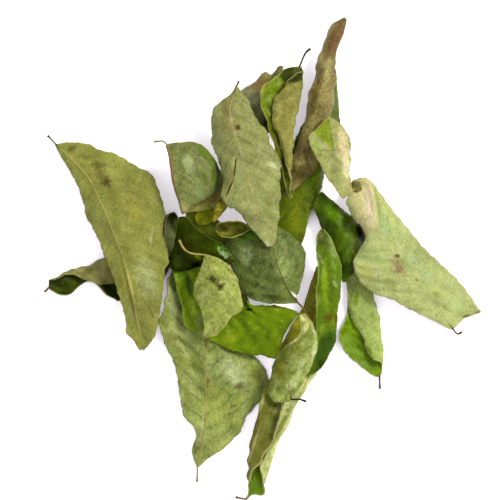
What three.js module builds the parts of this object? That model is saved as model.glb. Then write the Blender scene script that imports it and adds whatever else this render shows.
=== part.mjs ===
// A sprig of dried curry leaf lying on a flat surface. A thin rachis runs along the surface, and the
// curled, folded leaflets are heaped on and round it, each one resting on those below it.
// Millimetres, +Z up. X and Y are the surface, and the origin is under the middle of the heap.
import * as THREE from "three";

// Blades
const BLADE_THICKNESS = 0.6;
const BLADE_STATIONS = 14;
const SIDE_COLUMNS = 3;
const BEND_COLUMNS = 3;
const FLAP_COLUMNS = 1;
const TIGHTEST_BEND = 0.9;
const FOLD_RADIUS = 0.6;

// Petiolules, the short stalk of each leaflet
const STALK_HALF_WIDTH = 0.45;
const STALK_STATIONS = 2;

// Rachis
const RACHIS_WIDTH = 1.9;
const RACHIS_HEIGHT = 1.5;
const RACHIS_TIP_SCALE = 0.6;
const RACHIS_STATIONS = 12;
const RACHIS_ROUTE = [
  [-0.2, -48], [0.7, -40], [4.4, -30.1], [8.6, -20.2], [13.6, -9.5], [15.2, 0.7], [11.6, 12.8], [11.6, 23.8],
  [13.2, 36],
];

// How the leaflets settle on each other
const RESTING_GAP = 0.35;
const SAG_PER_MM = 0.03;
const SMOOTHING_PASSES = 3;
const SAMPLES_PER_CELL = 3;
const MAP_HALF_SIZE = 60;
const MAP_CELL = 0.5;

// Colours
const OLIVE = { color: 0x9aa35a, roughness: 0.75 };
const GREY_GREEN = { color: 0x9aa67f, roughness: 0.8 };
const PALE_GREEN = { color: 0xb5c086, roughness: 0.7 };
const BRIGHT_GREEN = { color: 0x7fa432, roughness: 0.4 };
const DARK_GREEN = { color: 0x3f5a1f, roughness: 0.35 };
const YELLOW_GREEN = { color: 0xb9bf62, roughness: 0.6 };
const BROWN = { color: 0x8a7443, roughness: 0.6 };
const STALK_BROWN = { color: 0x6b5a34, roughness: 0.8 };

/** One point at share t of the length of a smooth line through the points. */
function lineThrough(points) {
  const corners = points.map(([x, y, z = 0]) => new THREE.Vector3(x, y, z));
  return new THREE.CatmullRomCurve3(corners, false, "catmullrom", 0.5);
}

/** The value at share t of a list whose entries are evenly spaced, eased from one to the next. */
function valueAlong(list, t) {
  const place = t * (list.length - 1);
  const before = Math.min(Math.floor(place), list.length - 2);
  const share = place - before;
  const eased = share * share * (3 - 2 * share);
  return list[before] + (list[before + 1] - list[before]) * eased;
}

/**
 * The section of half a blade, from the rib out, as [distance out, height] pairs. It is an arc that
 * leaves the rib at `slope` degrees and turns by `curl` degrees, and reaches `reach` seen from above.
 */
function curledSection(reach, slope, curl) {
  const start = THREE.MathUtils.degToRad(slope);
  const most = reach / TIGHTEST_BEND;
  const wanted = THREE.MathUtils.degToRad(curl);
  const turn = THREE.MathUtils.clamp(Math.abs(wanted) < 1e-3 ? 1e-3 : wanted, -most, most);
  const outTo = (share) => (Math.sin(start + turn * share) - Math.sin(start)) / turn;
  const upTo = (share) => (Math.cos(start) - Math.cos(start + turn * share)) / turn;
  let furthest = 0;
  for (let step = 1; step <= 24; step += 1) {
    furthest = Math.max(furthest, outTo(step / 24));
  }
  const width = reach / furthest;
  const section = [];
  for (let column = 1; column <= SIDE_COLUMNS; column += 1) {
    const share = column / SIDE_COLUMNS;
    section.push([width * outTo(share), width * upTo(share)]);
  }
  return section;
}

/**
 * The section of half a blade that is folded over: flat out to the fold, then a bend of `turn`
 * degrees and a flap of `flap` millimetres.
 */
function foldedSection(reach, slope, turn, flap) {
  const start = THREE.MathUtils.degToRad(slope);
  const easing = Math.min(1, (reach / (2.5 * FOLD_RADIUS)) ** 2);
  const bend = THREE.MathUtils.degToRad(turn) * easing;
  const side = Math.sign(bend) || 1;
  const angle = Math.abs(bend);
  const bendReach = FOLD_RADIUS * Math.sin(Math.min(angle, Math.PI / 2));
  const flat = Math.max(reach - bendReach, 0.3);
  const section = [];
  for (let column = 1; column <= SIDE_COLUMNS; column += 1) {
    const out = (flat * column) / SIDE_COLUMNS;
    section.push([out, out * Math.tan(start)]);
  }
  const rise = flat * Math.tan(start);
  for (let column = 1; column <= BEND_COLUMNS; column += 1) {
    const part = (angle * column) / BEND_COLUMNS;
    section.push([flat + FOLD_RADIUS * Math.sin(part), rise + side * FOLD_RADIUS * (1 - Math.cos(part))]);
  }
  const [edgeOut, edgeUp] = section[section.length - 1];
  for (let column = 1; column <= FLAP_COLUMNS; column += 1) {
    const along = (flap * easing * column) / FLAP_COLUMNS;
    section.push([edgeOut + along * Math.cos(angle), edgeUp + side * along * Math.sin(angle)]);
  }
  return section;
}

/** The section of one half of the blade at share t of the rib. */
function halfSection(half, reach, t) {
  const slope = valueAlong(half.slope, t);
  if (half.fold) {
    return foldedSection(reach, slope, valueAlong(half.fold.turn, t), valueAlong(half.fold.flap, t));
  }
  return curledSection(reach, slope, valueAlong(half.curl, t));
}

/** How many columns one half of a leaflet has. */
function columnsOf(half) {
  return half.fold ? SIDE_COLUMNS + BEND_COLUMNS + FLAP_COLUMNS : SIDE_COLUMNS;
}

/** One row of points across the stalk, as many as a row of the blade has. */
function stalkRow(leaflet, line, t) {
  const centre = line.getPointAt(t);
  const ahead = line.getTangentAt(t).setZ(0).normalize();
  const toLeft = new THREE.Vector3(-ahead.y, ahead.x, 0);
  const leftCount = columnsOf(leaflet.left);
  const count = leftCount + columnsOf(leaflet.right);
  const row = [];
  for (let column = 0; column <= count; column += 1) {
    const across = column < leftCount
      ? 1 - column / leftCount
      : -(column - leftCount) / (count - leftCount);
    row.push(centre.clone().addScaledVector(toLeft, across * STALK_HALF_WIDTH));
  }
  return row;
}

/** One row of points across the blade, from the left margin over the rib to the right margin. */
function bladeRow(leaflet, lines, t) {
  const centre = lines.rib.getPointAt(t).setZ(valueAlong(leaflet.arch, t));
  const halves = [leaflet.left, leaflet.right].map((half, side) => {
    const margin = (side === 0 ? lines.left : lines.right).getPointAt(t);
    const outward = new THREE.Vector3(margin.x - centre.x, margin.y - centre.y, 0);
    const reach = outward.length();
    outward.normalize();
    return halfSection(half, reach, t).map(([out, up]) => {
      const point = centre.clone().addScaledVector(outward, out);
      return point.setZ(centre.z + up);
    });
  });
  return [...halves[0].reverse(), centre, ...halves[1]];
}

/** The middle surface of a leaflet before it settles, as rows of points from stalk to apex. */
function leafletRows(leaflet) {
  const rows = [];
  if (leaflet.stalk) {
    const base = [...leaflet.rib[0].slice(0, 2), leaflet.arch[0]];
    const line = lineThrough([...leaflet.stalk, base]);
    const steps = STALK_STATIONS + leaflet.stalk.length - 1;
    for (let step = 0; step < steps; step += 1) {
      rows.push(stalkRow(leaflet, line, step / steps));
    }
  }
  const lines = {
    rib: lineThrough(leaflet.rib),
    left: lineThrough(leaflet.left.margin),
    right: lineThrough(leaflet.right.margin),
  };
  for (let station = 0; station <= BLADE_STATIONS; station += 1) {
    rows.push(bladeRow(leaflet, lines, station / BLADE_STATIONS));
  }
  return rows;
}

/** A map of how high the heap reaches over each place of the surface. */
class HeapMap {
  constructor() {
    this.cells = Math.round((2 * MAP_HALF_SIZE) / MAP_CELL);
    this.heights = new Float32Array(this.cells * this.cells);
  }

  index(x, y) {
    const column = Math.round((x + MAP_HALF_SIZE) / MAP_CELL);
    const row = Math.round((y + MAP_HALF_SIZE) / MAP_CELL);
    return row * this.cells + column;
  }

  /** The lowest height at which a point may lie at this place. */
  floorAt(x, y) {
    const height = this.heights[this.index(x, y)];
    return height > 0 ? height + RESTING_GAP : 0;
  }

  /** Raises the map to a height at this place and one cell round it. */
  raise(x, y, height) {
    const middle = this.index(x, y);
    for (let down = -1; down <= 1; down += 1) {
      for (let across = -1; across <= 1; across += 1) {
        const at = middle + down * this.cells + across;
        this.heights[at] = Math.max(this.heights[at], height);
      }
    }
  }
}

/** Points spread evenly over the cells between rows, each with the four corners that it lies among. */
function spreadOver(rows) {
  const samples = [];
  for (let i = 0; i + 1 < rows.length; i += 1) {
    for (let j = 0; j + 1 < rows[i].length; j += 1) {
      for (let a = 0; a <= SAMPLES_PER_CELL; a += 1) {
        for (let b = 0; b <= SAMPLES_PER_CELL; b += 1) {
          const down = a / SAMPLES_PER_CELL;
          const across = b / SAMPLES_PER_CELL;
          const near = rows[i][j].clone().lerp(rows[i][j + 1], across);
          const far = rows[i + 1][j].clone().lerp(rows[i + 1][j + 1], across);
          samples.push(near.lerp(far, down));
        }
      }
    }
  }
  return samples;
}

/** One pass of smoothing of a value held at each point of the rows. */
function smoothed(lifts) {
  const along = lifts.map((row, i) => row.map((value, j) => {
    const before = lifts[Math.max(i - 1, 0)][j];
    const after = lifts[Math.min(i + 1, lifts.length - 1)][j];
    return (before + 2 * value + after) / 4;
  }));
  return along.map((row) => row.map((value, j) => {
    const before = row[Math.max(j - 1, 0)];
    const after = row[Math.min(j + 1, row.length - 1)];
    return (before + 2 * value + after) / 4;
  }));
}

/** The lift that each point of the rows needs so that the blade clears the heap and sags no faster. */
function liftsOver(rows, heap) {
  const needs = spreadOver(rows).map((point) => ({
    x: point.x,
    y: point.y,
    lift: heap.floorAt(point.x, point.y) + BLADE_THICKNESS / 2 - point.z,
  }));
  return rows.map((row) => row.map((point) => {
    let lift = -Infinity;
    for (const need of needs) {
      const distance = (point.x - need.x) ** 2 + (point.y - need.y) ** 2;
      lift = Math.max(lift, need.lift - (SAG_PER_MM * distance) / 2);
    }
    return lift;
  }));
}

/** Sets the rows down on the heap: they drape over it, smoothly, and end clear of it. */
function settle(rows, heap) {
  let lifts = liftsOver(rows, heap);
  for (let pass = 0; pass < SMOOTHING_PASSES; pass += 1) {
    lifts = smoothed(lifts);
  }
  rows.forEach((row, i) => row.forEach((point, j) => point.setZ(point.z + lifts[i][j])));
  const rest = liftsOver(rows, heap);
  rows.forEach((row, i) => row.forEach((point, j) => point.setZ(point.z + Math.max(rest[i][j], 0))));
  for (const point of spreadOver(rows)) {
    heap.raise(point.x, point.y, point.z + BLADE_THICKNESS / 2);
  }
}

/** The direction square to the surface at each point of the rows, pointing up where it lies flat. */
function normalsOf(rows) {
  return rows.map((row, i) => row.map((point, j) => {
    const across = new THREE.Vector3().subVectors(
      row[Math.min(j + 1, row.length - 1)],
      row[Math.max(j - 1, 0)],
    );
    const along = new THREE.Vector3().subVectors(
      rows[Math.min(i + 1, rows.length - 1)][j],
      rows[Math.max(i - 1, 0)][j],
    );
    return across.cross(along).normalize();
  }));
}

/** A closed blade of even thickness round the rows, split into triangles alike on both faces. */
function bladeGeometry(rows) {
  const normals = normalsOf(rows);
  const width = rows[0].length;
  const count = rows.length * width;
  const positions = [];
  for (const side of [0.5, -0.5]) {
    rows.forEach((row, i) => row.forEach((point, j) => {
      const moved = point.clone().addScaledVector(normals[i][j], side * BLADE_THICKNESS);
      positions.push(moved.x, moved.y, moved.z);
    }));
  }
  const top = (i, j) => i * width + j;
  const under = (i, j) => count + i * width + j;
  const faces = [];
  const quad = (a, b, c, d) => faces.push(a, b, c, a, c, d);
  const lastRow = rows.length - 1;
  const lastColumn = width - 1;
  for (let i = 0; i < lastRow; i += 1) {
    for (let j = 0; j < lastColumn; j += 1) {
      quad(top(i, j), top(i, j + 1), top(i + 1, j + 1), top(i + 1, j));
      faces.push(under(i, j), under(i + 1, j + 1), under(i, j + 1));
      faces.push(under(i, j), under(i + 1, j), under(i + 1, j + 1));
    }
    quad(top(i, 0), top(i + 1, 0), under(i + 1, 0), under(i, 0));
    quad(top(i + 1, lastColumn), top(i, lastColumn), under(i, lastColumn), under(i + 1, lastColumn));
  }
  for (let j = 0; j < lastColumn; j += 1) {
    quad(top(0, j + 1), top(0, j), under(0, j), under(0, j + 1));
    quad(top(lastRow, j), top(lastRow, j + 1), under(lastRow, j + 1), under(lastRow, j));
  }
  const geometry = new THREE.BufferGeometry();
  geometry.setAttribute("position", new THREE.Float32BufferAttribute(positions, 3));
  geometry.setIndex(faces);
  geometry.computeVertexNormals();
  return geometry;
}

/** A named mesh of a geometry in one of the colours above. */
function pieceOf(name, geometry, finish) {
  const material = new THREE.MeshStandardMaterial({ ...finish, metalness: 0 });
  const mesh = new THREE.Mesh(geometry, material);
  mesh.name = name;
  return mesh;
}

/** The rachis: a slim stem with a flat underside that lies on the surface, thinner towards its tip. */
function rachis(heap) {
  const line = lineThrough(RACHIS_ROUTE);
  const section = [
    [-0.3, 0], [0.3, 0], [0.5, 0.3], [0.5, 0.7], [0.27, 1], [-0.27, 1], [-0.5, 0.7], [-0.5, 0.3],
  ];
  const positions = [];
  for (let station = 0; station <= RACHIS_STATIONS; station += 1) {
    const t = station / RACHIS_STATIONS;
    const centre = line.getPointAt(t);
    const ahead = line.getTangentAt(t);
    const scale = THREE.MathUtils.lerp(1, RACHIS_TIP_SCALE, t);
    for (const [across, up] of section) {
      const x = centre.x + ahead.y * across * RACHIS_WIDTH * scale;
      const y = centre.y - ahead.x * across * RACHIS_WIDTH * scale;
      positions.push(x, y, up * RACHIS_HEIGHT * scale);
    }
    for (let side = -1; side <= 1; side += 1) {
      for (let back = 0; back < 8; back += 1) {
        const place = line.getPointAt(Math.max(t - back / (8 * RACHIS_STATIONS), 0));
        const beside = (side * RACHIS_WIDTH * scale) / 2;
        heap.raise(place.x + ahead.y * beside, place.y - ahead.x * beside, RACHIS_HEIGHT * scale);
      }
    }
  }
  const sides = section.length;
  const faces = [];
  for (let station = 0; station < RACHIS_STATIONS; station += 1) {
    for (let side = 0; side < sides; side += 1) {
      const a = station * sides + side;
      const b = station * sides + ((side + 1) % sides);
      faces.push(a, b + sides, b, a, a + sides, b + sides);
    }
  }
  const tip = RACHIS_STATIONS * sides;
  for (let side = 1; side + 1 < sides; side += 1) {
    faces.push(0, side, side + 1);
    faces.push(tip, tip + side + 1, tip + side);
  }
  const geometry = new THREE.BufferGeometry();
  geometry.setAttribute("position", new THREE.Float32BufferAttribute(positions, 3));
  geometry.setIndex(faces);
  return pieceOf("rachis", geometry, STALK_BROWN);
}

// The leaflets, from the lowest of the heap to the highest. Left and right are seen from above, looking
// from the stalk to the apex. Margins run from base to apex. Arch, slope, curl, turn and flap are given
// at even steps from base to apex: arch is the height of the rib, slope and curl are degrees, up is
// positive, and a fold has the degrees that it turns by and the width of its flap.
const LEAFLETS = [
  {
    name: "leaf_far_left_rolled",
    finish: GREY_GREEN,
    stalk: [[-48, -7.4, 1.6]],
    rib: [
      [-47.1, -6.4], [-43.8, -7], [-41, -6.3], [-38.5, -4.8], [-36, -4.7], [-32.5, -6], [-28.5, -4.4],
      [-23.5, 1.8], [-18.5, 8.1],
    ],
    arch: [1.5, 0.5, 0.5, 0.8, 1],
    left: {
      margin: [
        [-47.1, -5.9], [-46.5, -4.6], [-44.6, -3.7], [-42, -3], [-37.6, -1.2], [-34.5, 0], [-29.3, 3.2],
        [-23.1, 7.8], [-20, 9.7], [-18.7, 8.8],
      ],
      slope: [10, 5, 5],
      fold: { turn: [80, 140, 174, 178, 174, 160, 60], flap: [0.3, 0.7, 4.7, 5.6, 5.6, 4.4, 1] },
    },
    right: {
      margin: [
        [-47.1, -6.8], [-46.4, -7.5], [-44.6, -8.1], [-42.2, -7.6], [-39.6, -5.6], [-37.6, -5.3],
        [-35.2, -6.4], [-33, -8.8], [-31.2, -9.7], [-26.6, -7.6], [-22, -4.4], [-19.4, 1.2], [-18.3, 7.5],
      ],
      slope: [10, 0, 0],
      curl: [90, 110, 90, 20, 0],
    },
  },
  {
    name: "leaf_lower_left",
    finish: PALE_GREEN,
    stalk: [[-14.5, -49.2, 1]],
    rib: [
      [-14.3, -46], [-13.1, -39.6], [-12.5, -34.8], [-12.5, -24.6], [-12.3, -19.1], [-13.2, -14.7], [-14.7, -9.2],
      [-16.5, -0.9],
    ],
    arch: [0.5, 0.8, 1.2, 1, 0.8],
    left: {
      margin: [
        [-14.4, -46], [-15.2, -44.4], [-15.6, -42], [-14.7, -39], [-15.5, -36.5], [-17.5, -34.7], [-18.2, -30.8],
        [-19.4, -23.5], [-21.5, -19.2], [-22.5, -15], [-22.2, -12.5], [-20.5, -4.4], [-19.4, -1.8], [-16.9, -0.9],
      ],
      slope: [5, 8, -12, -8],
      curl: [-10, -20, 10, 70, 60],
    },
    right: {
      margin: [
        [-14.1, -46], [-11.5, -43.7], [-8.8, -42], [-5.6, -39], [-4.6, -37], [-3.5, -34.5], [-0.7, -31.5],
        [0.9, -29.8], [1.1, -27.9], [0.4, -24.4], [-2.9, -20.2], [-5.5, -15.8], [-9, -9.2], [-12.1, -3.7],
        [-14.7, -1.3], [-16.1, -0.9],
      ],
      slope: [-5, -6, -4],
      curl: [0, -15, -25, -10],
    },
  },
  {
    name: "leaf_under_speckled",
    finish: BRIGHT_GREEN,
    rib: [[-17.2, 0.4], [-16.6, -4], [-15.8, -9.2], [-15.2, -13.2], [-14.4, -16]],
    arch: [0, 0.5, 0.5, 0],
    left: {
      margin: [[-16.4, 0.4], [-13.8, -1.2], [-12.2, -4.8], [-11.9, -10.3], [-12.4, -14], [-13.6, -15.8]],
      slope: [5, 10, 5],
      curl: [0, 20, 0],
    },
    right: {
      margin: [
        [-18, 0.4], [-20, -1.8], [-19.2, -5.8], [-18, -10], [-17.6, -13.4], [-16.8, -15.4], [-15.2, -16.1],
      ],
      slope: [5, 10, 5],
      curl: [0, 20, 10],
    },
  },
  {
    name: "leaf_under_middle",
    finish: DARK_GREEN,
    rib: [[-16.6, 10.4], [-13, 7.2], [-9, 4.4], [-5, 2.6]],
    arch: [0.3, 0.6, 0.6, 0.2],
    left: {
      margin: [[-16.3, 10.7], [-14, 10.4], [-10.5, 8.6], [-7.4, 6.6], [-5.4, 4.4], [-4.7, 3]],
      slope: [0, -5, 0],
      curl: [0, -10, 0],
    },
    right: {
      margin: [[-17, 10.1], [-16.6, 6.8], [-14.2, 3.4], [-10.4, 1.6], [-7, 1.2], [-5.2, 2.2]],
      slope: [0, -5, 0],
      curl: [0, -10, 0],
    },
  },
  {
    name: "leaf_right_lower",
    finish: PALE_GREEN,
    stalk: [[25.7, -28.7, 1.2]],
    rib: [[25.7, -25.7], [24.2, -20.9], [22.2, -15.6], [20.7, -10.6], [19.8, -5.9], [19.8, -0.9], [20.2, 2.2]],
    arch: [0.6, 0.4, 0.8, 1],
    left: {
      margin: [
        [25.5, -26.1], [24.4, -26], [21, -23.5], [17.9, -20.4], [16.8, -17.2], [17.5, -14.7], [18.6, -11.9],
        [18.8, -8.8], [18.5, -3.7], [18.9, 0], [20, 2],
      ],
      slope: [0, 5, 0],
      curl: [10, 25, 20, 10],
    },
    right: {
      margin: [
        [26.1, -25.5], [26.2, -22.8], [25.9, -17.9], [25.2, -13], [23.8, -7.7], [22.7, -3.7], [21.6, 0],
        [20.5, 2],
      ],
      slope: [0, 5, 5],
      fold: { turn: [150, 176, 180, 176, 150], flap: [0.3, 3, 5.2, 4.2, 1.2] },
    },
  },
  {
    name: "leaf_bottom_pale",
    finish: YELLOW_GREEN,
    stalk: [[8.4, -21.8, 0.9]],
    rib: [[10.6, -24.9], [7.7, -31.2], [4.6, -36.5], [1.5, -42.7], [-0.2, -50.4]],
    arch: [0.5, 0.8, 0.5, 0.2],
    left: {
      margin: [
        [10.8, -24.9], [11.9, -25.4], [10.6, -27], [9.2, -29], [6.9, -33], [5.7, -36.5], [3.1, -41.1],
        [1.7, -45.5], [0.7, -48.8], [0, -50.4],
      ],
      slope: [0, -5, 0],
      curl: [0, -15, -20, 0],
    },
    right: {
      margin: [
        [10.3, -24.9], [7.6, -26.6], [4.4, -32.2], [2, -36.3], [-0.3, -41.3], [-1.3, -45.8], [-1.1, -48.8],
        [-0.3, -50.4],
      ],
      slope: [0, 5, 5],
      curl: [0, 20, 20, 0],
    },
  },
  {
    name: "leaf_bottom_rolled",
    finish: DARK_GREEN,
    stalk: [[-6, -52.5, 1.4]],
    rib: [[-3.7, -53], [-1.6, -48.8], [-1, -43.3], [0.9, -37.8], [3.1, -32.3], [4.4, -27.9], [5.1, -24.2]],
    arch: [0.8, 0.5, 0.5, 0.8],
    left: {
      margin: [
        [-3.7, -52.7], [-3.2, -51], [-3.1, -46.4], [-2.9, -42.2], [-1.7, -36.7], [-0.5, -31.5], [0.9, -27.9],
        [3.1, -24.6], [4.8, -24.2],
      ],
      slope: [5, 15, 5],
      fold: { turn: [30, 120, 165, 176, 176, 168, 60], flap: [0.5, 1.2, 2.9, 4.4, 4.6, 4, 1] },
    },
    right: {
      margin: [
        [-3.5, -53.2], [-2.2, -52], [0, -51.7], [-0.3, -46.5], [0.3, -43.7], [1.8, -39.4], [3, -35.1],
        [4.6, -31.4], [5.5, -27.9], [5.7, -25.1], [5.3, -24.2],
      ],
      slope: [0, 10, 5],
      curl: [20, 60, 80, 70, 20],
    },
  },
  {
    name: "leaf_olive_strip",
    finish: OLIVE,
    stalk: [[13.9, -3.1, 0.9]],
    rib: [[11.9, -2], [9.9, -8.8], [7.7, -15.4], [4, -21.6]],
    arch: [0.5, 0.8, 0.5, 0],
    left: {
      margin: [[12.1, -2.2], [12.8, -5.9], [12.6, -11.4], [11.2, -16.9], [7.2, -21.8], [4.4, -21.9]],
      slope: [0, 5, 0],
      curl: [0, 15, 0],
    },
    right: {
      margin: [[11.7, -2], [10.8, -4.6], [8.8, -10.6], [6.4, -14.7], [4.1, -19.1], [3.7, -21.3]],
      slope: [0, -10, 0],
      curl: [0, -20, 0],
    },
  },
  {
    name: "leaf_glossy_upper",
    finish: YELLOW_GREEN,
    stalk: [[14.5, 37, 0.9]],
    rib: [
      [16, 39.2], [15.6, 34.8], [13.6, 28.2], [11.2, 21.6], [9, 16.1], [7.9, 11.7], [7.6, 7.3], [8.1, 2.9],
    ],
    arch: [0.4, 0.8, 1.2, 1.5, 0.4],
    left: {
      margin: [
        [16.2, 39.2], [16.8, 31.7], [16.9, 29], [16.3, 25.5], [14.7, 21.6], [13.6, 17.7], [12.5, 14.6],
        [11, 11.4], [9.9, 8.3], [9.2, 4.9], [8.4, 2.9],
      ],
      slope: [0, -8, -10, 0],
      curl: [0, -20, -30, 0],
    },
    right: {
      margin: [
        [15.7, 38.9], [14.7, 37.8], [12.5, 35.4], [9.4, 30.4], [6, 23.8], [3.6, 18.3], [2.2, 13.6], [1.8, 10.1],
        [2.6, 6.7], [5.6, 4.4], [7.9, 2.9],
      ],
      slope: [0, 0, -8, 5],
      curl: [0, -15, -25, 0],
    },
  },
  {
    name: "leaf_dark_right",
    finish: DARK_GREEN,
    rib: [[11.4, 12.5], [14.3, 9.9], [17.2, 5.9], [18.3, 1.3], [18, -5.3]],
    arch: [0.5, 1.5, 1.8, 0.5],
    left: {
      margin: [
        [11.6, 12.8], [12.8, 14.4], [15.9, 12.2], [19.6, 9], [21.8, 7.8], [23.3, 5.4], [22.8, 2.6],
        [21.4, -0.2], [19.9, -2.9], [18.5, -5.1],
      ],
      slope: [0, -10, -15, 0],
      curl: [0, -40, -70, -20],
    },
    right: {
      margin: [
        [11.3, 12.3], [11, 11], [12.8, 7.4], [14.1, 4.4], [15.8, 1.1], [16.8, -1.3], [17.2, -4.8], [17.7, -5.3],
      ],
      slope: [0, -5, -5, 0],
      curl: [0, -30, -30, -10],
    },
  },
  {
    name: "leaf_top_grey",
    finish: BRIGHT_GREEN,
    rib: [[1.7, 40.2], [0.6, 36.4], [0, 33.4], [0.2, 30.4], [1, 27.4]],
    arch: [1, 0.5, 0.5, 0.5],
    left: {
      margin: [
        [2.5, 40.8], [3.2, 41.3], [3.7, 42.1], [4.5, 41.6], [4.4, 37.9], [3.6, 34.4], [2.8, 31],
        [1.5, 27.6],
      ],
      slope: [0, 5, 5, 0],
      curl: [40, 30, 20, 0],
    },
    right: {
      margin: [
        [1.1, 40.5], [0.4, 40.9], [-1.1, 39.6], [-2.9, 38.1], [-4.4, 36.3], [-3.8, 33.4], [-2.6, 30.4],
        [0.5, 27.5],
      ],
      slope: [0, -15, -10, 0],
      curl: [-10, -60, -50, -10],
    },
  },
  {
    name: "leaf_bright_centre",
    finish: BRIGHT_GREEN,
    rib: [[13, 6.3], [13.9, 1.8], [14.4, -3.7], [14.2, -9.2], [13.9, -14.7], [12.5, -20.7], [9.5, -26]],
    arch: [0.5, 1, 1.2, 1, 0.4],
    left: {
      margin: [
        [13.4, 6.3], [15, 4.2], [16.1, 1.3], [17.2, -1.8], [17.1, -6.3], [16.3, -10.5], [16.1, -17.2],
        [14.4, -21.4], [12.4, -24.6], [9.9, -26.1],
      ],
      slope: [0, -8, -12, 0],
      curl: [0, -35, -45, -10],
    },
    right: {
      margin: [
        [12.5, 6.3], [11.7, 4.8], [11.7, 1.8], [11.9, -4.2], [11.5, -11.6], [11.7, -19.3], [10.8, -22.8],
        [9.2, -25.7],
      ],
      slope: [0, 5, 0, 0],
      curl: [10, 30, 30, 0],
    },
  },
  {
    name: "leaf_right_large",
    finish: PALE_GREEN,
    stalk: [[43.7, -16.3, 2.4], [42.7, -16.7, 1.9]],
    rib: [[41.6, -15.6], [37, -9.7], [31.7, -3.3], [27.3, 2.9], [23.8, 9], [21.3, 13], [18.7, 13.4]],
    arch: [1.5, 0.8, 1, 2.5, 2.5],
    left: {
      margin: [
        [41.4, -15.8], [36.4, -13.3], [32.2, -11.2], [27.3, -8.6], [24.2, -7.7], [21.7, -5.8], [20.3, -3.1],
        [20, -0.4], [21, 2.2], [22.4, 4.5], [21.7, 6.9], [19.6, 9], [18.2, 11.7], [18.3, 12.8],
      ],
      slope: [0, -5, -10, -10],
      curl: [0, -15, -30, -30],
    },
    right: {
      margin: [
        [41.9, -15.5], [44.5, -13.3], [47.3, -12], [47.6, -11.2], [43.1, -5.3], [39.2, -1.4], [35.7, 1.8],
        [32.2, 5.9], [28.7, 10.1], [25.9, 13.9], [23.8, 16.7], [21.1, 17.3], [19.3, 16.8], [18.6, 14.3],
      ],
      slope: [0, 5, 5, -15],
      curl: [0, 10, 0, -60],
    },
  },
  {
    name: "leaf_bright_low",
    finish: BRIGHT_GREEN,
    stalk: [[10.6, -14.7, 0.9]],
    rib: [[7.7, -12.1], [2.9, -14.7], [-2.4, -16.1], [-7.7, -16.9], [-12.5, -17.4]],
    arch: [0.3, 0.8, 1, 0.6, 0.2],
    left: {
      margin: [
        [7.5, -12.5], [5.9, -14.7], [4.2, -17.9], [3.3, -21.8], [-0.7, -21.4], [-4.6, -20.9], [-8.1, -19.7],
        [-12.4, -17.6],
      ],
      slope: [0, -4, -4, 0],
      curl: [0, -12, -12, 0],
    },
    right: {
      margin: [
        [7.3, -11.6], [3.5, -10.5], [-1, -10.3], [-3, -9.8], [-3.8, -8], [-5, -7.2], [-6.4, -9],
        [-8.6, -13], [-12.4, -17.2],
      ],
      slope: [0, 3, 3, 0],
      curl: [0, 10, 10, 0],
    },
  },
  {
    name: "leaf_round_dark",
    finish: DARK_GREEN,
    stalk: [[11.4, -15.8, 0.9], [8.9, -11.3, 1.5]],
    rib: [[7.6, -9.8], [5.3, -6.7], [3.3, -2], [1.8, 2.3], [-0.2, 5.7], [-2.4, 7.9]],
    arch: [0.8, 1.2, 1.5, 1.2, 0.5],
    left: {
      margin: [
        [7.2, -9.8], [5.1, -10], [1.5, -10], [-2.2, -9.2], [-4.3, -7.6], [-5.6, -5], [-7, -2], [-8.3, 1],
        [-8.4, 3.3], [-7, 5.3], [-4.6, 7], [-2.6, 7.9],
      ],
      slope: [0, -6, -6, 0],
      curl: [0, -25, -35, -10],
    },
    right: {
      margin: [
        [7.5, -9.4], [7, -8], [7.9, -7.1], [8.5, -4.7], [9.4, -1.3], [8.9, 1.8], [7.5, 3.7], [4, 6.7],
        [0.7, 8.4], [-2, 8.1],
      ],
      slope: [0, -6, -6, 0],
      curl: [0, -25, -30, -10],
    },
  },
  {
    name: "leaf_small_oval",
    finish: YELLOW_GREEN,
    rib: [[-11, 11.4], [-12.6, 9.4], [-13.6, 7.2]],
    arch: [0.4, 0.4, 0.4],
    left: {
      margin: [[-10.7, 11.2], [-10.7, 9.6], [-11.3, 7.9], [-13.2, 7.1]],
      slope: [10, 20, 10],
      curl: [10, 30, 10],
    },
    right: {
      margin: [[-11.4, 11.6], [-13.2, 11], [-14.6, 9.6], [-14.8, 8.2], [-14, 7.2]],
      slope: [10, 20, 10],
      curl: [10, 30, 10],
    },
  },
  {
    name: "leaf_under_upper_left",
    finish: OLIVE,
    rib: [[-17.8, 10.2], [-15.6, 13.4], [-12, 15.4], [-7.4, 17]],
    arch: [0.3, 0.5, 0.5, 0.2],
    left: {
      margin: [[-18, 10.3], [-18.4, 13.6], [-15, 17.8], [-10.4, 19], [-7.6, 17.4]],
      slope: [0, -5, 0],
      curl: [0, -10, 0],
    },
    right: {
      margin: [[-17.5, 10], [-15.6, 10.1], [-12.6, 10.6], [-9.6, 11.9], [-7, 14.6], [-7, 16.7]],
      slope: [0, 5, 0],
      curl: [0, 15, 0],
    },
  },
  {
    name: "leaf_upper_left",
    finish: GREY_GREEN,
    stalk: [[-23.8, 25.5, 2.2], [-22, 25.6, 1.5]],
    rib: [[-21.1, 24.9], [-20.1, 21.6], [-19.5, 17.2], [-18.5, 13.4], [-17.3, 9.7]],
    arch: [1.5, 1.5, 1.8, 2, 1.5],
    left: {
      margin: [
        [-20.7, 25.1], [-19.1, 25.3], [-15, 25.3], [-12.3, 23.8], [-10.5, 21.6], [-9.2, 18.9], [-9, 16.7],
        [-10.1, 14.7], [-13, 13], [-15.6, 11.4], [-16.9, 9.8],
      ],
      slope: [5, 6, 0, -5],
      curl: [-10, -40, -70, -40],
    },
    right: {
      margin: [[-21.3, 24.6], [-20.6, 21.6], [-19.9, 17.2], [-18.9, 13.2], [-17.6, 9.6]],
      slope: [0, 0, 0],
      curl: [-20, -60, -60, -20],
    },
  },
  {
    name: "leaf_brown_top",
    finish: BROWN,
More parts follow.
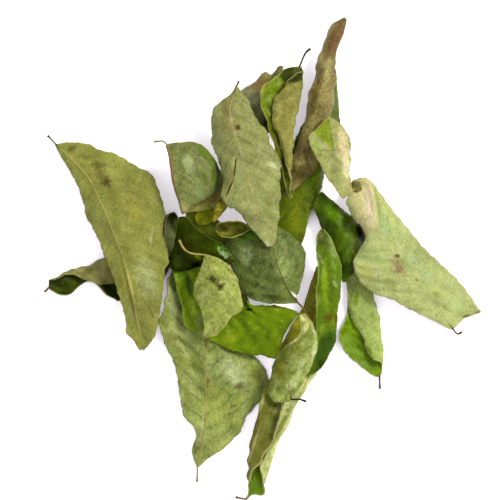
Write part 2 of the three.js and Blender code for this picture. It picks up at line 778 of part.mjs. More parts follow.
    rib: [[5.7, 14.5], [7.5, 20], [9.9, 26.6], [11.9, 33.7], [13.4, 40.3], [15.3, 46.9], [18.1, 52.6]],
    arch: [0.4, 1.2, 1.6, 1.6, 1.2, 1],
    left: {
      margin: [
        [5.4, 14.7], [5.5, 17.2], [6.1, 20.4], [7, 23.5], [9, 28.7], [9.8, 33.6], [10.9, 38.1], [12, 42.2],
        [13.2, 46.7], [14.7, 50.4], [16.1, 51.9], [17.8, 52.9],
      ],
      slope: [0, -12, -15, -15],
      curl: [-10, -50, -110, -120, -60],
    },
    right: {
      margin: [
        [6.2, 14.4], [9, 16.7], [11.4, 19.4], [13.1, 23.8], [14.2, 28.6], [15.2, 33.7], [15.9, 39.2],
        [15.7, 41.8], [15.8, 44.4], [16.9, 47.6], [18.5, 52.3],
      ],
      slope: [0, -8, -15, -15],
      curl: [-10, -25, -80, -110, -60],
    },
  },
  {
    name: "leaf_dark_middle",
    finish: DARK_GREEN,
    rib: [[-18.2, 9], [-16.1, 4.8], [-12.1, 1.8], [-6.6, -0.9]],
    arch: [0.8, 1, 1.2, 0.5],
    left: {
      margin: [
        [-17.7, 9.1], [-16.5, 8.9], [-14.3, 6.5], [-11.4, 4.3], [-9.1, 3.1], [-7.3, 1.5], [-6.3, -0.4],
      ],
      slope: [0, -8, -8, 0],
      curl: [0, -30, -40, 0],
    },
    right: {
      margin: [
        [-18.5, 9], [-18.9, 6.3], [-19.3, 3.8], [-20.2, 1], [-20.3, -1], [-19.5, -2.2], [-16.9, -2.5],
        [-14.1, -2.3], [-10.6, -2.4], [-7.3, -1.5],
      ],
      slope: [0, -8, -15, -5],
      curl: [-5, -40, -55, -20],
    },
  },
  {
    name: "leaf_small_rolled",
    finish: YELLOW_GREEN,
    rib: [[-10.5, 6.4], [-6.8, 6.1], [-2.4, 6.7]],
    arch: [0.2, 0.2, 0.2],
    left: {
      margin: [[-10.3, 6.9], [-9.5, 7.7], [-5.7, 8.1], [-2.6, 7]],
      slope: [10, 25, 10],
      curl: [40, 75, 40],
    },
    right: {
      margin: [[-10.3, 5.8], [-9.2, 4.8], [-6.8, 4.5], [-4, 5.6], [-2.4, 6.4]],
      slope: [10, 25, 10],
      curl: [40, 75, 40],
    },
  },
  {
    name: "leaf_top_folded",
    finish: OLIVE,
    stalk: [[10.3, 45.8, 3.2], [9.2, 44.7, 2.6]],
    rib: [
      [8, 41.8], [6.7, 39.8], [5.2, 36.5], [4.3, 31.5], [4.1, 28.2], [4.4, 23.8], [4.7, 19.4], [5, 16.1], [6.3, 13],
    ],
    arch: [1.5, 0.8, 0.8, 1.2, 1, 0.4],
    left: {
      margin: [
        [8.3, 41.9], [8.6, 40.3], [8.4, 37.5], [7.4, 32.6], [6.7, 28.2], [6.3, 23.8], [6.1, 20], [6.1, 17.6],
        [5.9, 15], [6.6, 12.8],
      ],
      slope: [0, 0, 0, 0],
      fold: { turn: [120, 170, 176, 176, 176, 170, 150, 120], flap: [0.3, 3, 4.8, 4.4, 2.2, 0.9, 0.5, 0.3] },
    },
    right: {
      margin: [
        [7.7, 42], [5.5, 41.7], [4.2, 41], [2.6, 39.6], [0.4, 38.1], [-0.7, 36.7], [-0.4, 33.9],
        [0.2, 31.2], [1.1, 28.2], [2.3, 24.8], [3.6, 21.2], [4.5, 17.9], [4.9, 15.1], [6.1, 12.9],
      ],
      slope: [0, 5, 10, 10],
      curl: [0, 20, 30, 30, 20],
    },
  },
  {
    name: "leaf_speckled",
    finish: PALE_GREEN,
    stalk: [[-18.3, 3.9, 1.2], [-17.4, 2.2, 1.6], [-15.8, 1.1, 1.6]],
    rib: [[-12.5, 0.7], [-11.2, -3.1], [-10.1, -8.1], [-11, -13.2], [-12.8, -17.2]],
    arch: [0.8, 1.2, 1.6, 1.2, 0.4],
    left: {
      margin: [
        [-12.1, 0.8], [-9.4, -0.2], [-7.2, -1.8], [-5.8, -4.9], [-4.8, -8.3], [-4.5, -11.4], [-6.7, -12.9],
        [-8.2, -14.6], [-10.1, -17], [-12.4, -17.4],
      ],
      slope: [0, -6, -6, 0],
      curl: [-5, -25, -30, -10],
    },
    right: {
      margin: [
        [-12.8, 0.6], [-13.5, -1.8], [-14.6, -5.2], [-15.3, -7.3], [-14.8, -9.1], [-13.4, -11.6], [-13, -14.9],
        [-13, -17.2],
      ],
      slope: [0, -8, -8, 0],
      curl: [-5, -30, -30, -10],
    },
  },
  {
    name: "leaf_pale_curled",
    finish: PALE_GREEN,
    stalk: [[9.4, -31.4, 1.2], [7.9, -30.9, 1]],
    rib: [[6.2, -31], [5.7, -27.5], [6.6, -22.9], [8.4, -18.5], [9.6, -15.4], [9, -12.1]],
    arch: [0.4, 1.2, 1.6, 1.4, 0.8],
    left: {
      margin: [
        [5.9, -31.4], [4.6, -31.6], [2.4, -31.2], [1.3, -29.1], [1.7, -24.9], [3.7, -20.7], [5.6, -18.6],
        [7.6, -17.2], [8.5, -15], [7.9, -12.3],
      ],
      slope: [0, -10, -10, 0],
      curl: [-5, -40, -45, 20, 110],
    },
    right: {
      margin: [
        [6.4, -30.7], [8.7, -27], [10.8, -23.5], [11.5, -20.7], [11.7, -17.9], [11.2, -14.9], [10.2, -13.4],
        [9.2, -12],
      ],
      slope: [0, -6, -8, 0],
      curl: [-5, -30, -50, -40, -10],
    },
  },
  {
    name: "leaf_folded_right",
    finish: PALE_GREEN,
    rib: [[14.3, 30.9], [15.1, 27.1], [16.1, 22.2], [17.3, 17.2], [18.3, 13.6]],
    arch: [1, 1.6, 1.8, 1.2, 0.5],
    left: {
      margin: [
        [14.6, 30.9], [16.3, 29.9], [17.7, 28.7], [18.9, 26.2], [18.9, 22.7], [19.1, 17.7], [19.4, 14.3],
        [18.6, 13.5],
      ],
      slope: [-10, -20, -15, 0],
      curl: [0, -40, -50, -30],
    },
    right: {
      margin: [
        [14.1, 30.8], [11.7, 28.5], [9.9, 26.4], [11, 23.1], [12.1, 21.1], [13.9, 17.7], [15.9, 15],
        [17.2, 13.1], [18, 13.2],
      ],
      slope: [-10, -12, -5, 0],
      curl: [0, 15, 10, 0],
    },
  },
  {
    name: "leaf_torn_yellow",
    finish: YELLOW_GREEN,
    rib: [[-7.3, 13.2], [-9, 10.8], [-10.9, 7.9]],
    arch: [0.6, 0.3, 0.2],
    left: {
      margin: [[-7, 12.9], [-7.4, 11.7], [-9, 9.7], [-10.6, 7.8]],
      slope: [0, -10, 0],
      curl: [0, -20, 0],
    },
    right: {
      margin: [[-7.6, 13.4], [-9.5, 12.7], [-10.7, 10.8], [-11.1, 8.1]],
      slope: [0, 15, 0],
      curl: [0, 30, 0],
    },
  },
  {
    name: "leaf_centre",
    finish: GREY_GREEN,
    stalk: [[-5.3, 38.6, 1.8]],
    rib: [
      [-5.7, 37.5], [-7.2, 33], [-6.6, 28.2], [-5.1, 23.3], [-2.9, 17.8], [-1.1, 12.1], [0.2, 7], [1.3, 2.6],
    ],
    arch: [1.2, 1.2, 1, 1.2, 0.6],
    left: {
      margin: [
        [-5.5, 37.5], [-4.6, 36.1], [-3.1, 34.3], [-2.3, 31.8], [0.5, 28.1], [1.3, 25.3], [3, 22.7], [4, 20.6],
        [3.6, 17.1], [3.8, 13.5], [3.4, 9], [2.7, 3.4], [1.5, 2.4],
      ],
      slope: [0, -6, -4, 0],
      curl: [-10, -35, -25, -10],
    },
    right: {
      margin: [
        [-5.9, 37.3], [-7.2, 35.7], [-9.7, 33.9], [-10.8, 32.2], [-11.5, 28.1], [-11.2, 25.5], [-10.1, 23.1],
        [-9.4, 20.4], [-9, 16.1], [-8.9, 13.2], [-7.4, 11], [-6, 10.7], [-3.8, 7.9], [-1.8, 5.7], [1, 2.4],
      ],
      slope: [0, -6, -2, 0],
      curl: [-10, -55, -30, -5],
    },
  },
  {
    name: "leaf_left_large",
    finish: OLIVE,
    stalk: [[-47.3, 26.9, 3.6]],
    rib: [
      [-45.7, 25.1], [-42.2, 21.9], [-38.6, 17.9], [-35.3, 11.6], [-31.9, 3.6], [-29.4, -4.5], [-27.7, -13.3],
      [-26.6, -20.1],
    ],
    arch: [2.6, 1.2, 0.8, 1.2, 0.8],
    left: {
      margin: [
        [-45.3, 25.2], [-42.8, 25.5], [-38.6, 25.1], [-35.7, 23.6], [-32.3, 22.9], [-27.1, 19.6], [-24.5, 18.4],
        [-23.1, 15.6], [-21.6, 10.1], [-21.9, 6.6], [-20.8, -0.2], [-21.5, -2.5], [-22, -7.8], [-23.2, -15.3],
        [-24.2, -18], [-26.3, -20.4],
      ],
      slope: [5, 2, -2, 0],
      curl: [-10, -25, -20, 10],
    },
    right: {
      margin: [
        [-45.8, 24.9], [-44.7, 22.8], [-43.3, 20.5], [-40.3, 15.2], [-39.8, 12.5], [-38.8, 9.1], [-37.4, 6.8],
        [-36.1, 4], [-33.7, -1.8], [-31.2, -9.6], [-30.1, -13.7], [-30, -16.5], [-28.6, -17.8], [-27, -20.4],
      ],
      slope: [-10, -15, -8, 0],
      curl: [-5, -20, -5, 20],
    },
  },
];

/** One leaflet, settled on the heap so far. */
function leafletPiece(leaflet, heap) {
  const rows = leafletRows(leaflet);
  settle(rows, heap);
  return pieceOf(leaflet.name, bladeGeometry(rows), leaflet.finish);
}

const heap = new HeapMap();
const sprig = new THREE.Group();
sprig.add(rachis(heap));
for (const leaflet of LEAFLETS) {
  sprig.add(leafletPiece(leaflet, heap));
}

const box = new THREE.Box3().setFromObject(sprig);
const middle = box.getCenter(new THREE.Vector3());
sprig.position.set(-middle.x, -middle.y, -box.min.z);

export default sprig;
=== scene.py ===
"""A sprig of dried curry leaf, heaped on a pale table.

A thin rachis lies on the table and the curled, folded leaflets are heaped on and round it. Each
leaflet is a thin closed blade with a raised midrib, a round petiolule, side veins and a two-sided
finish: matte underneath and glossier above. The leaflets are laid out in millimetres, +Z up, and
their meshes are in metres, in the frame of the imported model.
"""

import logging
import math
from dataclasses import dataclass, field
from enum import Enum
from typing import Optional, Sequence, Union

import bpy
import numpy as np
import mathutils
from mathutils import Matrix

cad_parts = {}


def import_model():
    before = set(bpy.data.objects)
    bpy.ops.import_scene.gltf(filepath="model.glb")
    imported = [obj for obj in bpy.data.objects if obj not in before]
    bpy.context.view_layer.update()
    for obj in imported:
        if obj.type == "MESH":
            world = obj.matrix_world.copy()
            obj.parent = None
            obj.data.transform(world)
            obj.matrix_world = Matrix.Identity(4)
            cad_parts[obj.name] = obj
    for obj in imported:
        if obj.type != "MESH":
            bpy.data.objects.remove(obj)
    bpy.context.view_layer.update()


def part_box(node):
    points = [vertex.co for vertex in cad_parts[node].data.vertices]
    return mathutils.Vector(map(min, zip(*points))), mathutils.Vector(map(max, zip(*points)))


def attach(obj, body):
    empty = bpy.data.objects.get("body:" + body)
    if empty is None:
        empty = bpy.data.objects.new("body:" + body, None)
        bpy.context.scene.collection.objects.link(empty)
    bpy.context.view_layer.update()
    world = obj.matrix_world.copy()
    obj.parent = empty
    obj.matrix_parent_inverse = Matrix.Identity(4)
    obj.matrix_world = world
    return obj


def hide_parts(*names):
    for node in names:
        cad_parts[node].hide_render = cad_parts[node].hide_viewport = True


log = logging.getLogger("sprig")

Array = np.ndarray
Points = Sequence[Sequence[float]]
Values = Sequence[float]
Colour = tuple[int, int, int]
Vector = tuple[float, float, float]
Linear = tuple[float, float, float, float]
Socket = bpy.types.NodeSocket

BODY = "root"
MILLIMETRE = 0.001

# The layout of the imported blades, which the finer blades follow
BLADE_STATIONS = 14
SIDE_COLUMNS = 3
BEND_COLUMNS = 3
FLAP_COLUMNS = 1
TIGHTEST_BEND = 0.9
FOLD_RADIUS = 0.6
PACKED_THICKNESS = 0.6
PACKED_STALK_HALF_WIDTH = 0.45
PACKED_STALK_STATIONS = 2
RESTING_GAP = 0.35
SAG_PER_MM = 0.03
SMOOTHING_PASSES = 3
SAMPLES_PER_CELL = 3
MAP_HALF_SIZE = 60.0
MAP_CELL = 0.5
LINE_DIVISIONS = 200
REACH_STEPS = 24

# The finer blades
GRID_STEP = 0.36
BLADE_THICKNESS = 0.34
MARGIN_THICKNESS = 0.2
MARGIN_TAPER = 0.7
RIB_RADIUS = 0.2
RIB_APEX_RADIUS = 0.08
RIB_SIDES = 10
RIB_OFFSET = 0.12
STALK_RADIUS = 0.2
STALK_END_RADIUS = 0.3
STALK_STEP = 0.4
TABLE_GAP = 0.02
FEWEST_ROWS = 24
FEWEST_COLUMNS = 8
CROWDING_TO_MARGIN = 1.12
WOODY_FADE = 2.5
FAR_FROM_MARGIN = 5.0

# Their ripples: lengths and heights, and how far from the rib or the margin they fade
WAVE_LENGTH = 9.0
WAVES = ((1.0, 1.0), (0.5, 1.9))
WAVE_POWER = 2.2
ROOMY_HALF = 4.0
CRUMPLES = 4
CRUMPLE_LENGTHS = (3.0, 8.0)
QUILTING = 0.1
QUILT_FADE = 1.5
SCALLOPS = ((0.09, 2.9), (0.06, 6.1))
SCALLOP_FADE = 1.6

# The rachis
RACHIS_ROWS = 240
RACHIS_SIDES = 16
RACHIS_SHARE = 0.9
SWELLING = 0.16
SWELLING_LENGTH = 0.9
RIDGES = 5
RIDGE_HEIGHT = 0.05

# How side veins lean and bow towards the apex, and how far those of one half lag behind the other's
VEIN_LEAN = 0.55
VEIN_BOW = 0.09
VEIN_STAGGER = 0.47

# The lights are bright, so a surface reflects less than its colour on the screen
REFLECTED_SHARES = (0.58, 0.59, 0.53)
SHEEN_SHARES = (0.004, 0.004, 0.007)

# How strongly the parts of a leaflet's finish show
SPECK_STRENGTH = 0.55
BARK_STRENGTH = 0.6
BARK_SHADE = 0.6
# How dark the painted shade in creases gets
PAINTED_CREASE_SHADE = 0.3
BUMP_STRENGTH = 0.55
NET_RELIEF = 0.35
GRAIN_RELIEF = 0.5
UPPER_FACE_RELIEF = -0.6
GRAIN_SCALE = 3.4
GRAIN_IN_ROUGHNESS = 0.22
SEED_SPREAD = 7.3

# How near a surface has to be for painted shade to darken a crease, how deep relief is and where the floor
# lies, in metres
PAINTED_SHADE_REACH = 0.0014
RELIEF_DEPTH = 0.12 * MILLIMETRE
FLOOR_LEVEL = -5e-5


# ---- Lines, sections and the heap ----


def unit(vectors: Array) -> Array:
    """Vectors along the last axis, scaled to a length of one."""
    return vectors / np.maximum(np.linalg.norm(vectors, axis=-1, keepdims=True), 1e-12)


class SmoothLine:
    """A smooth line through points, read by the share of its length."""

    def __init__(self, points: Points) -> None:
        """Measures the line.

        Args:
            points: The points that it goes through, each with as many values as the others.
        """
        self.points = np.array(points, float)
        self.places = np.linspace(0.0, 1.0, LINE_DIVISIONS + 1)
        steps = np.linalg.norm(np.diff(self._through(self.places), axis=0), axis=1)
        self.lengths = np.concatenate([[0.0], np.cumsum(steps)])
        self.length = float(self.lengths[-1])

    def _through(self, places: Array) -> Array:
        """The points of the curve at shares of its corners.

        Args:
            places: Shares from 0 to 1, evenly spaced over the corners.

        Returns:
            One point for each share.
        """
        corners = self.points
        padded = np.vstack([2 * corners[0] - corners[1], corners, 2 * corners[-1] - corners[-2]])
        spot = places * (len(corners) - 1)
        before = np.minimum(np.floor(spot).astype(int), len(corners) - 2)
        share = (spot - before)[:, None]
        first, start, end, last = (padded[before + shift] for shift in range(4))
        leaving = 0.5 * (end - first)
        arriving = 0.5 * (last - start)
        square = -3 * start + 3 * end - 2 * leaving - arriving
        cube = 2 * start - 2 * end + leaving + arriving
        return start + leaving * share + square * share**2 + cube * share**3

    def _places(self, shares: Values) -> Array:
        """Shares of the corners at shares of the length."""
        return np.interp(np.asarray(shares, float) * self.length, self.lengths, self.places)

    def at(self, shares: Values) -> Array:
        """The points at shares of the line's length."""
        return self._through(self._places(shares))

    def heading(self, shares: Values) -> Array:
        """The directions of the line.

        Args:
            shares: Shares of its length.

        Returns:
            One unit vector for each share.
        """
        place = self._places(shares)
        after, before = np.minimum(place + 1e-4, 1.0), np.maximum(place - 1e-4, 0.0)
        return unit(self._through(after) - self._through(before))


def eased_values(values: Values, shares: Array) -> Array:
    """Reads a list whose entries are evenly spaced, eased from one to the next.

    Args:
        values: The entries, from share 0 to share 1.
        shares: Where the list is read.

    Returns:
        One value for each share.
    """
    entries = np.array(values, float)
    place = shares * (len(entries) - 1)
    before = np.minimum(np.floor(place).astype(int), len(entries) - 2)
    share = place - before
    return entries[before] + (entries[before + 1] - entries[before]) * (share * share * (3 - 2 * share))


def smooth_weights(places: Array, count: int) -> Array:
    """The weights that read a row of evenly spaced values smoothly at any place between them.

    Args:
        places: Where the row is read, from 0 to count - 1.
        count: How many values the row holds.

    Returns:
        One row of weights for each place.
    """
    before = np.clip(np.floor(places).astype(int), 0, count - 2)
    share = np.clip(places - before, 0.0, 1.0)
    cubic = (
        -0.5 * share + share**2 - 0.5 * share**3,
        1 - 2.5 * share**2 + 1.5 * share**3,
        0.5 * share + 2 * share**2 - 1.5 * share**3,
        -0.5 * share**2 + 0.5 * share**3,
    )
    weights = np.zeros((len(places), count))
    for shift, weight in zip((-1, 0, 1, 2), cubic):
        np.add.at(weights, (np.arange(len(places)), np.clip(before + shift, 0, count - 1)), weight)
    return weights


@dataclass(frozen=True)
class Fold:
    """The folded part of half a blade.

    Attributes:
        turn: The degrees that the blade turns by at the fold, from base to apex.
        flap: The width of the flap in millimetres, from base to apex.
    """

    turn: Values
    flap: Values


@dataclass(frozen=True)
class Half:
    """One half of a blade, from the rib to the margin.

    Attributes:
        margin: The outline seen from above, from base to apex, in millimetres.
        slope: The degrees at which the half leaves the rib, from base to apex, up being positive.
        curl: The degrees that it turns by on its way to the margin, from base to apex.
        fold: The fold, where the half is folded over instead of curled.
    """

    margin: Points
    slope: Values
    curl: Values = (0.0, 0.0)
    fold: Optional[Fold] = None

    @property
    def columns(self) -> int:
        """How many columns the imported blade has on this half."""
        return SIDE_COLUMNS + BEND_COLUMNS + FLAP_COLUMNS if self.fold else SIDE_COLUMNS

    def section(self, reach: Array, shares: Array, places: Array) -> tuple[Array, Array]:
        """The cross-section of the half at several stations.

        Args:
            reach: How far the half reaches seen from above, at each station.
            shares: The share of the rib's length at each station.
            places: Where on the section it is read, in packed columns from the rib.

        Returns:
            The distance out from the rib and the height over it, for each station and place.
        """
        start = np.radians(eased_values(self.slope, shares))[:, None]
        across = reach[:, None]
        if self.fold:
            return self._folded(across, start, shares, places)
        wanted = np.radians(eased_values(self.curl, shares))[:, None]
        wanted = np.where(np.abs(wanted) < 1e-3, 1e-3, wanted)
        turn = np.clip(wanted, -across / TIGHTEST_BEND, across / TIGHTEST_BEND)
        steps = (np.arange(REACH_STEPS) + 1) / REACH_STEPS
        furthest = ((np.sin(start + turn * steps) - np.sin(start)) / turn).max(axis=1, keepdims=True)
        width = across / np.maximum(furthest, 1e-9)
        part = places[None, :] / SIDE_COLUMNS
        out = width * (np.sin(start + turn * part) - np.sin(start)) / turn
        up = width * (np.cos(start) - np.cos(start + turn * part)) / turn
        return out, up

    def _folded(self, reach: Array, start: Array, shares: Array, places: Array) -> tuple[Array, Array]:
        """The cross-section of a folded half: flat, then a bend, then a flap.

        Args:
            reach: How far the half reaches, one row for each station.
            start: The slope in radians, one row for each station.
            shares: The share of the rib's length at each station.
            places: Where on the section it is read, in packed columns from the rib.

        Returns:
            The distance out from the rib and the height over it, for each station and place.
        """
        easing = np.minimum(1.0, (reach / (2.5 * FOLD_RADIUS)) ** 2)
        bend = np.radians(eased_values(self.fold.turn, shares))[:, None] * easing
        side = np.where(bend < 0, -1.0, 1.0)
        angle = np.abs(bend)
        flap = eased_values(self.fold.flap, shares)[:, None] * easing
        flat = np.maximum(reach - FOLD_RADIUS * np.sin(np.minimum(angle, math.pi / 2)), 0.3)
        on_flat = np.clip(places / SIDE_COLUMNS, 0, 1)[None, :]
        on_bend = np.clip((places - SIDE_COLUMNS) / BEND_COLUMNS, 0, 1)[None, :]
        on_flap = np.clip((places - SIDE_COLUMNS - BEND_COLUMNS) / FLAP_COLUMNS, 0, 1)[None, :]
        out = flat * on_flat + FOLD_RADIUS * np.sin(angle * on_bend) + flap * on_flap * np.cos(angle)
        up = flat * on_flat * np.tan(start) + side * FOLD_RADIUS * (1 - np.cos(angle * on_bend))
        return out, up + side * flap * on_flap * np.sin(angle)


@dataclass(frozen=True)
class Shape:
    """The lie of a leaflet: its rib and margins seen from above, and how its halves curl.

    Attributes:
        rib: The midrib seen from above, from base to apex, in millimetres.
        arch: The height of the rib, from base to apex, in millimetres.
        left: The half on the left hand, looking from the stalk to the apex from above.
        right: The half on the right hand.
        stalk: The petiolule from its free end to the blade, as x, y and height, or nothing.
    """

    rib: Points
    arch: Values
    left: Half
    right: Half
    stalk: Points = ()

    def outward(self, half: Half, shares: Array) -> Array:
        """The way from the rib to the margin of a half, seen from above, at shares of their lengths."""
        return SmoothLine(half.margin).at(shares) - SmoothLine(self.rib).at(shares)

    def blade(self, shares: Array, left: Array, right: Array) -> Array:
        """The middle surface of the blade, before it settles on the heap.

        Args:
            shares: The shares of the rib's length at which there are rows.
            left: The places on the left half, in packed columns from the rib.
            right: The places on the right half, likewise.

        Returns:
            The points, by row and column, from the left margin over the rib to the right margin.
        """
        centre = SmoothLine(self.rib).at(shares)
        height = eased_values(self.arch, shares)[:, None]
        halves = []
        for half, places in ((self.left, left), (self.right, right)):
            outward = self.outward(half, shares)
            out, up = half.section(np.linalg.norm(outward, axis=1), shares, places)
            flat = centre[:, None, :] + unit(outward)[:, None, :] * out[..., None]
            halves.append(np.concatenate([flat, (height + up)[..., None]], axis=2))
        middle = np.concatenate([centre, height], axis=1)[:, None, :]
        return np.concatenate([halves[0][:, ::-1], middle, halves[1]], axis=1)

    def stalk_line(self) -> SmoothLine:
        """The line of the petiolule, from its free end to the base of the rib."""
        return SmoothLine([*self.stalk, (*self.rib[0], self.arch[0])])

    def stalk_steps(self) -> int:
        """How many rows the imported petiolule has."""
        return PACKED_STALK_STATIONS + len(self.stalk) - 1 if self.stalk else 0

    def packed_rows(self) -> Array:
        """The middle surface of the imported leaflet, before it settles on the heap.

        Returns:
            The points, by row and column, the petiolule first.
        """
        left = np.arange(self.left.columns) + 1.0
        right = np.arange(self.right.columns) + 1.0
        blade = self.blade(np.arange(BLADE_STATIONS + 1) / BLADE_STATIONS, left, right)
        if not self.stalk:
            return blade
        line = self.stalk_line()
        steps = self.stalk_steps()
        places = np.arange(steps) / steps
        heading = unit(line.heading(places) * (1.0, 1.0, 0.0))
        to_left = np.stack([-heading[:, 1], heading[:, 0], np.zeros(steps)], axis=1)
        across = np.concatenate([left[::-1] / self.left.columns, [0.0], -right / self.right.columns])
        spread = to_left[:, None, :] * across[None, :, None] * PACKED_STALK_HALF_WIDTH
        return np.concatenate([line.at(places)[:, None, :] + spread, blade], axis=0)


class Heap:
    """How high the heap of leaflets reaches over each place of the table."""

    def __init__(self) -> None:
        """Starts with nothing on the table."""
        self.cells = round(2 * MAP_HALF_SIZE / MAP_CELL)
        self.heights = np.zeros(self.cells * self.cells)

    def _index(self, points: Array) -> Array:
        """The cell of the map that each point lies over."""
        cell = np.floor((points[:, :2] + MAP_HALF_SIZE) / MAP_CELL + 0.5).astype(int)
        return cell[:, 1] * self.cells + cell[:, 0]

    def pile(self, points: Array, heights: Array) -> None:
        """Raises the map round each point.

        Args:
            points: The places, seen from above.
            heights: How high the heap now reaches at each.
        """
        middle = self._index(points)
        for down in (-1, 0, 1):
            for across in (-1, 0, 1):
                np.maximum.at(self.heights, middle + down * self.cells + across, heights)

    def settle(self, rows: Array) -> Array:
        """Drapes a leaflet over the heap and adds it to the heap.

        Args:
            rows: The points of its middle surface, by row and column.

        Returns:
            How far each point is lifted.
        """
        lifts = self._lifts_over(rows)
        for _ in range(SMOOTHING_PASSES):
            lifts = smoothed(lifts)
        moved = rows.copy()
        moved[..., 2] += lifts
        rest = np.maximum(self._lifts_over(moved), 0.0)
        moved[..., 2] += rest
        samples = spread_over(moved)
        self.pile(samples, samples[:, 2] + PACKED_THICKNESS / 2)
        return lifts + rest

    def _lifts_over(self, rows: Array) -> Array:
        """The lift that each point needs so that the blade clears the heap and sags gently.

        Args:
            rows: The points of the blade, by row and column.

        Returns:
            The lift of each point.
        """
        samples = spread_over(rows)
        height = self.heights[self._index(samples)]
        floor = np.where(height > 0, height + RESTING_GAP, 0.0)
        needs = floor + PACKED_THICKNESS / 2 - samples[:, 2]
        flat = rows.reshape(-1, 3)
        apart = ((flat[:, None, :2] - samples[None, :, :2]) ** 2).sum(axis=2)
        return (needs[None, :] - SAG_PER_MM * apart / 2).max(axis=1).reshape(rows.shape[:2])


def spread_over(rows: Array) -> Array:
    """Points spread evenly over the cells between rows of points.

    Args:
        rows: The points, by row and column.

    Returns:
        The points in all the cells, one after another.
    """
    steps = np.arange(SAMPLES_PER_CELL + 1) / SAMPLES_PER_CELL
    samples = []
    for down in steps:
        for across in steps:
            near = rows[:-1, :-1] * (1 - across) + rows[:-1, 1:] * across
            far = rows[1:, :-1] * (1 - across) + rows[1:, 1:] * across
            samples.append((near * (1 - down) + far * down).reshape(-1, 3))
    return np.concatenate(samples)


def smoothed(lifts: Array) -> Array:
    """One pass of smoothing.

    Args:
        lifts: A value for each point, by row and column.

    Returns:
        The smoothed values.
    """
    tall = np.pad(lifts, ((1, 1), (0, 0)), mode="edge")
    along = (tall[:-2] + 2 * tall[1:-1] + tall[2:]) / 4
    wide = np.pad(along, ((0, 0), (1, 1)), mode="edge")
    return (wide[:, :-2] + 2 * wide[:, 1:-1] + wide[:, 2:]) / 4


def rolling(waves: Points, along: Array, across: Array, starts: Array) -> Array:
    """A sum of waves that start elsewhere on each half of a blade.

    Args:
        waves: The height and the pace of each wave.
        along: The distance along the rib, at each point.
        across: The distance from the rib, below nothing on the left half.
        starts: Where each wave starts on the left half and on the right half.

    Returns:
        The height of the sum at each point.
    """
    total = np.zeros(along.shape)
    for (height, pace), (left, right) in zip(waves, starts.reshape(-1, 2)):
        total = total + height * np.sin(along * pace + np.where(across < 0, left, right))
    return total


def surface_normals(rows: Array) -> Array:
    """The directions square to a surface, up where it lies flat.

    Args:
        rows: The points of the surface, by row and column.

    Returns:
        A unit vector for each point.
    """
    tall = np.pad(rows, ((1, 1), (0, 0), (0, 0)), mode="edge")
    wide = np.pad(rows, ((0, 0), (1, 1), (0, 0)), mode="edge")
    return unit(np.cross(wide[:, 2:] - wide[:, :-2], tall[2:] - tall[:-2]))


# ---- Meshes ----


def place_object(name: str, data: bpy.types.ID) -> bpy.types.Object:
    """Puts something in the scene.

    Args:
        name: The name of the object.
        data: Its mesh, light or camera.

    Returns:
        The object.
    """
    placed = bpy.data.objects.new(name, data)
    bpy.context.scene.collection.objects.link(placed)
    return placed


@dataclass
class MeshParts:
    """Closed shells that are gathered into one mesh, with the values held at their points.

    Attributes:
        points: The points of each shell, in millimetres.
        faces: The faces of each shell.
        values: The named values at the points of each shell.
        count: How many points there are so far.
    """

    points: list[Array] = field(default_factory=list)
    faces: list[Array] = field(default_factory=list)
    values: list[dict[str, Array]] = field(default_factory=list)
    count: int = 0

    def add(self, points: Array, faces: Array, **values: Array) -> None:
        """Adds one shell.

        Args:
            points: Its points.
            faces: Its faces, as rows of four point numbers, the last -1 where a face has three.
            values: A value for each point, by name.
        """
        self.points.append(points)
        self.faces.append(np.where(faces < 0, -1, faces + self.count))
        self.values.append(values)
        self.count += len(points)

    def mesh(self, name: str, offset: Array) -> bpy.types.Object:
        """Makes the object.

        Args:
            name: The name of the object and its mesh.
            offset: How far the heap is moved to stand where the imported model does.

        Returns:
            The object, smooth shaded, in metres.
        """
        points = (np.concatenate(self.points) + offset) * MILLIMETRE
        faces = [[number for number in face if number >= 0] for face in np.concatenate(self.faces).tolist()]
        mesh = bpy.data.meshes.new(name)
        mesh.from_pydata(points.tolist(), [], faces)
        for key in self.values[0]:
            layer = mesh.attributes.new(key, "FLOAT", "POINT")
            held = np.concatenate([values[key] for values in self.values])
            layer.data.foreach_set("value", held.astype(np.float32))
        mesh.polygons.foreach_set("use_smooth", [True] * len(mesh.polygons))
        mesh.validate()
        mesh.update()
        return place_object(name, mesh)


def shell_faces(rows: int, columns: int) -> Array:
    """The faces of a closed blade: a top and an under grid of points, joined round the edge.

    Args:
        rows: How many rows each grid has.
        columns: How many columns each grid has.

    Returns:
        Rows of four point numbers, the top grid's points first.
    """
    count = rows * columns
    number = np.arange(count).reshape(rows, columns)
    corners = (number[:-1, :-1], number[:-1, 1:], number[1:, 1:], number[1:, :-1])
    top = np.stack(corners, axis=-1).reshape(-1, 4)
    low = top[:, [0, 3, 2, 1]] + count
    loop = np.concatenate([number[0, :-1], number[:-1, -1], number[-1, :0:-1], number[:0:-1, 0]])
    after = np.roll(loop, -1)
    return np.concatenate([top, low, np.stack([loop, loop + count, after + count, after], axis=1)])


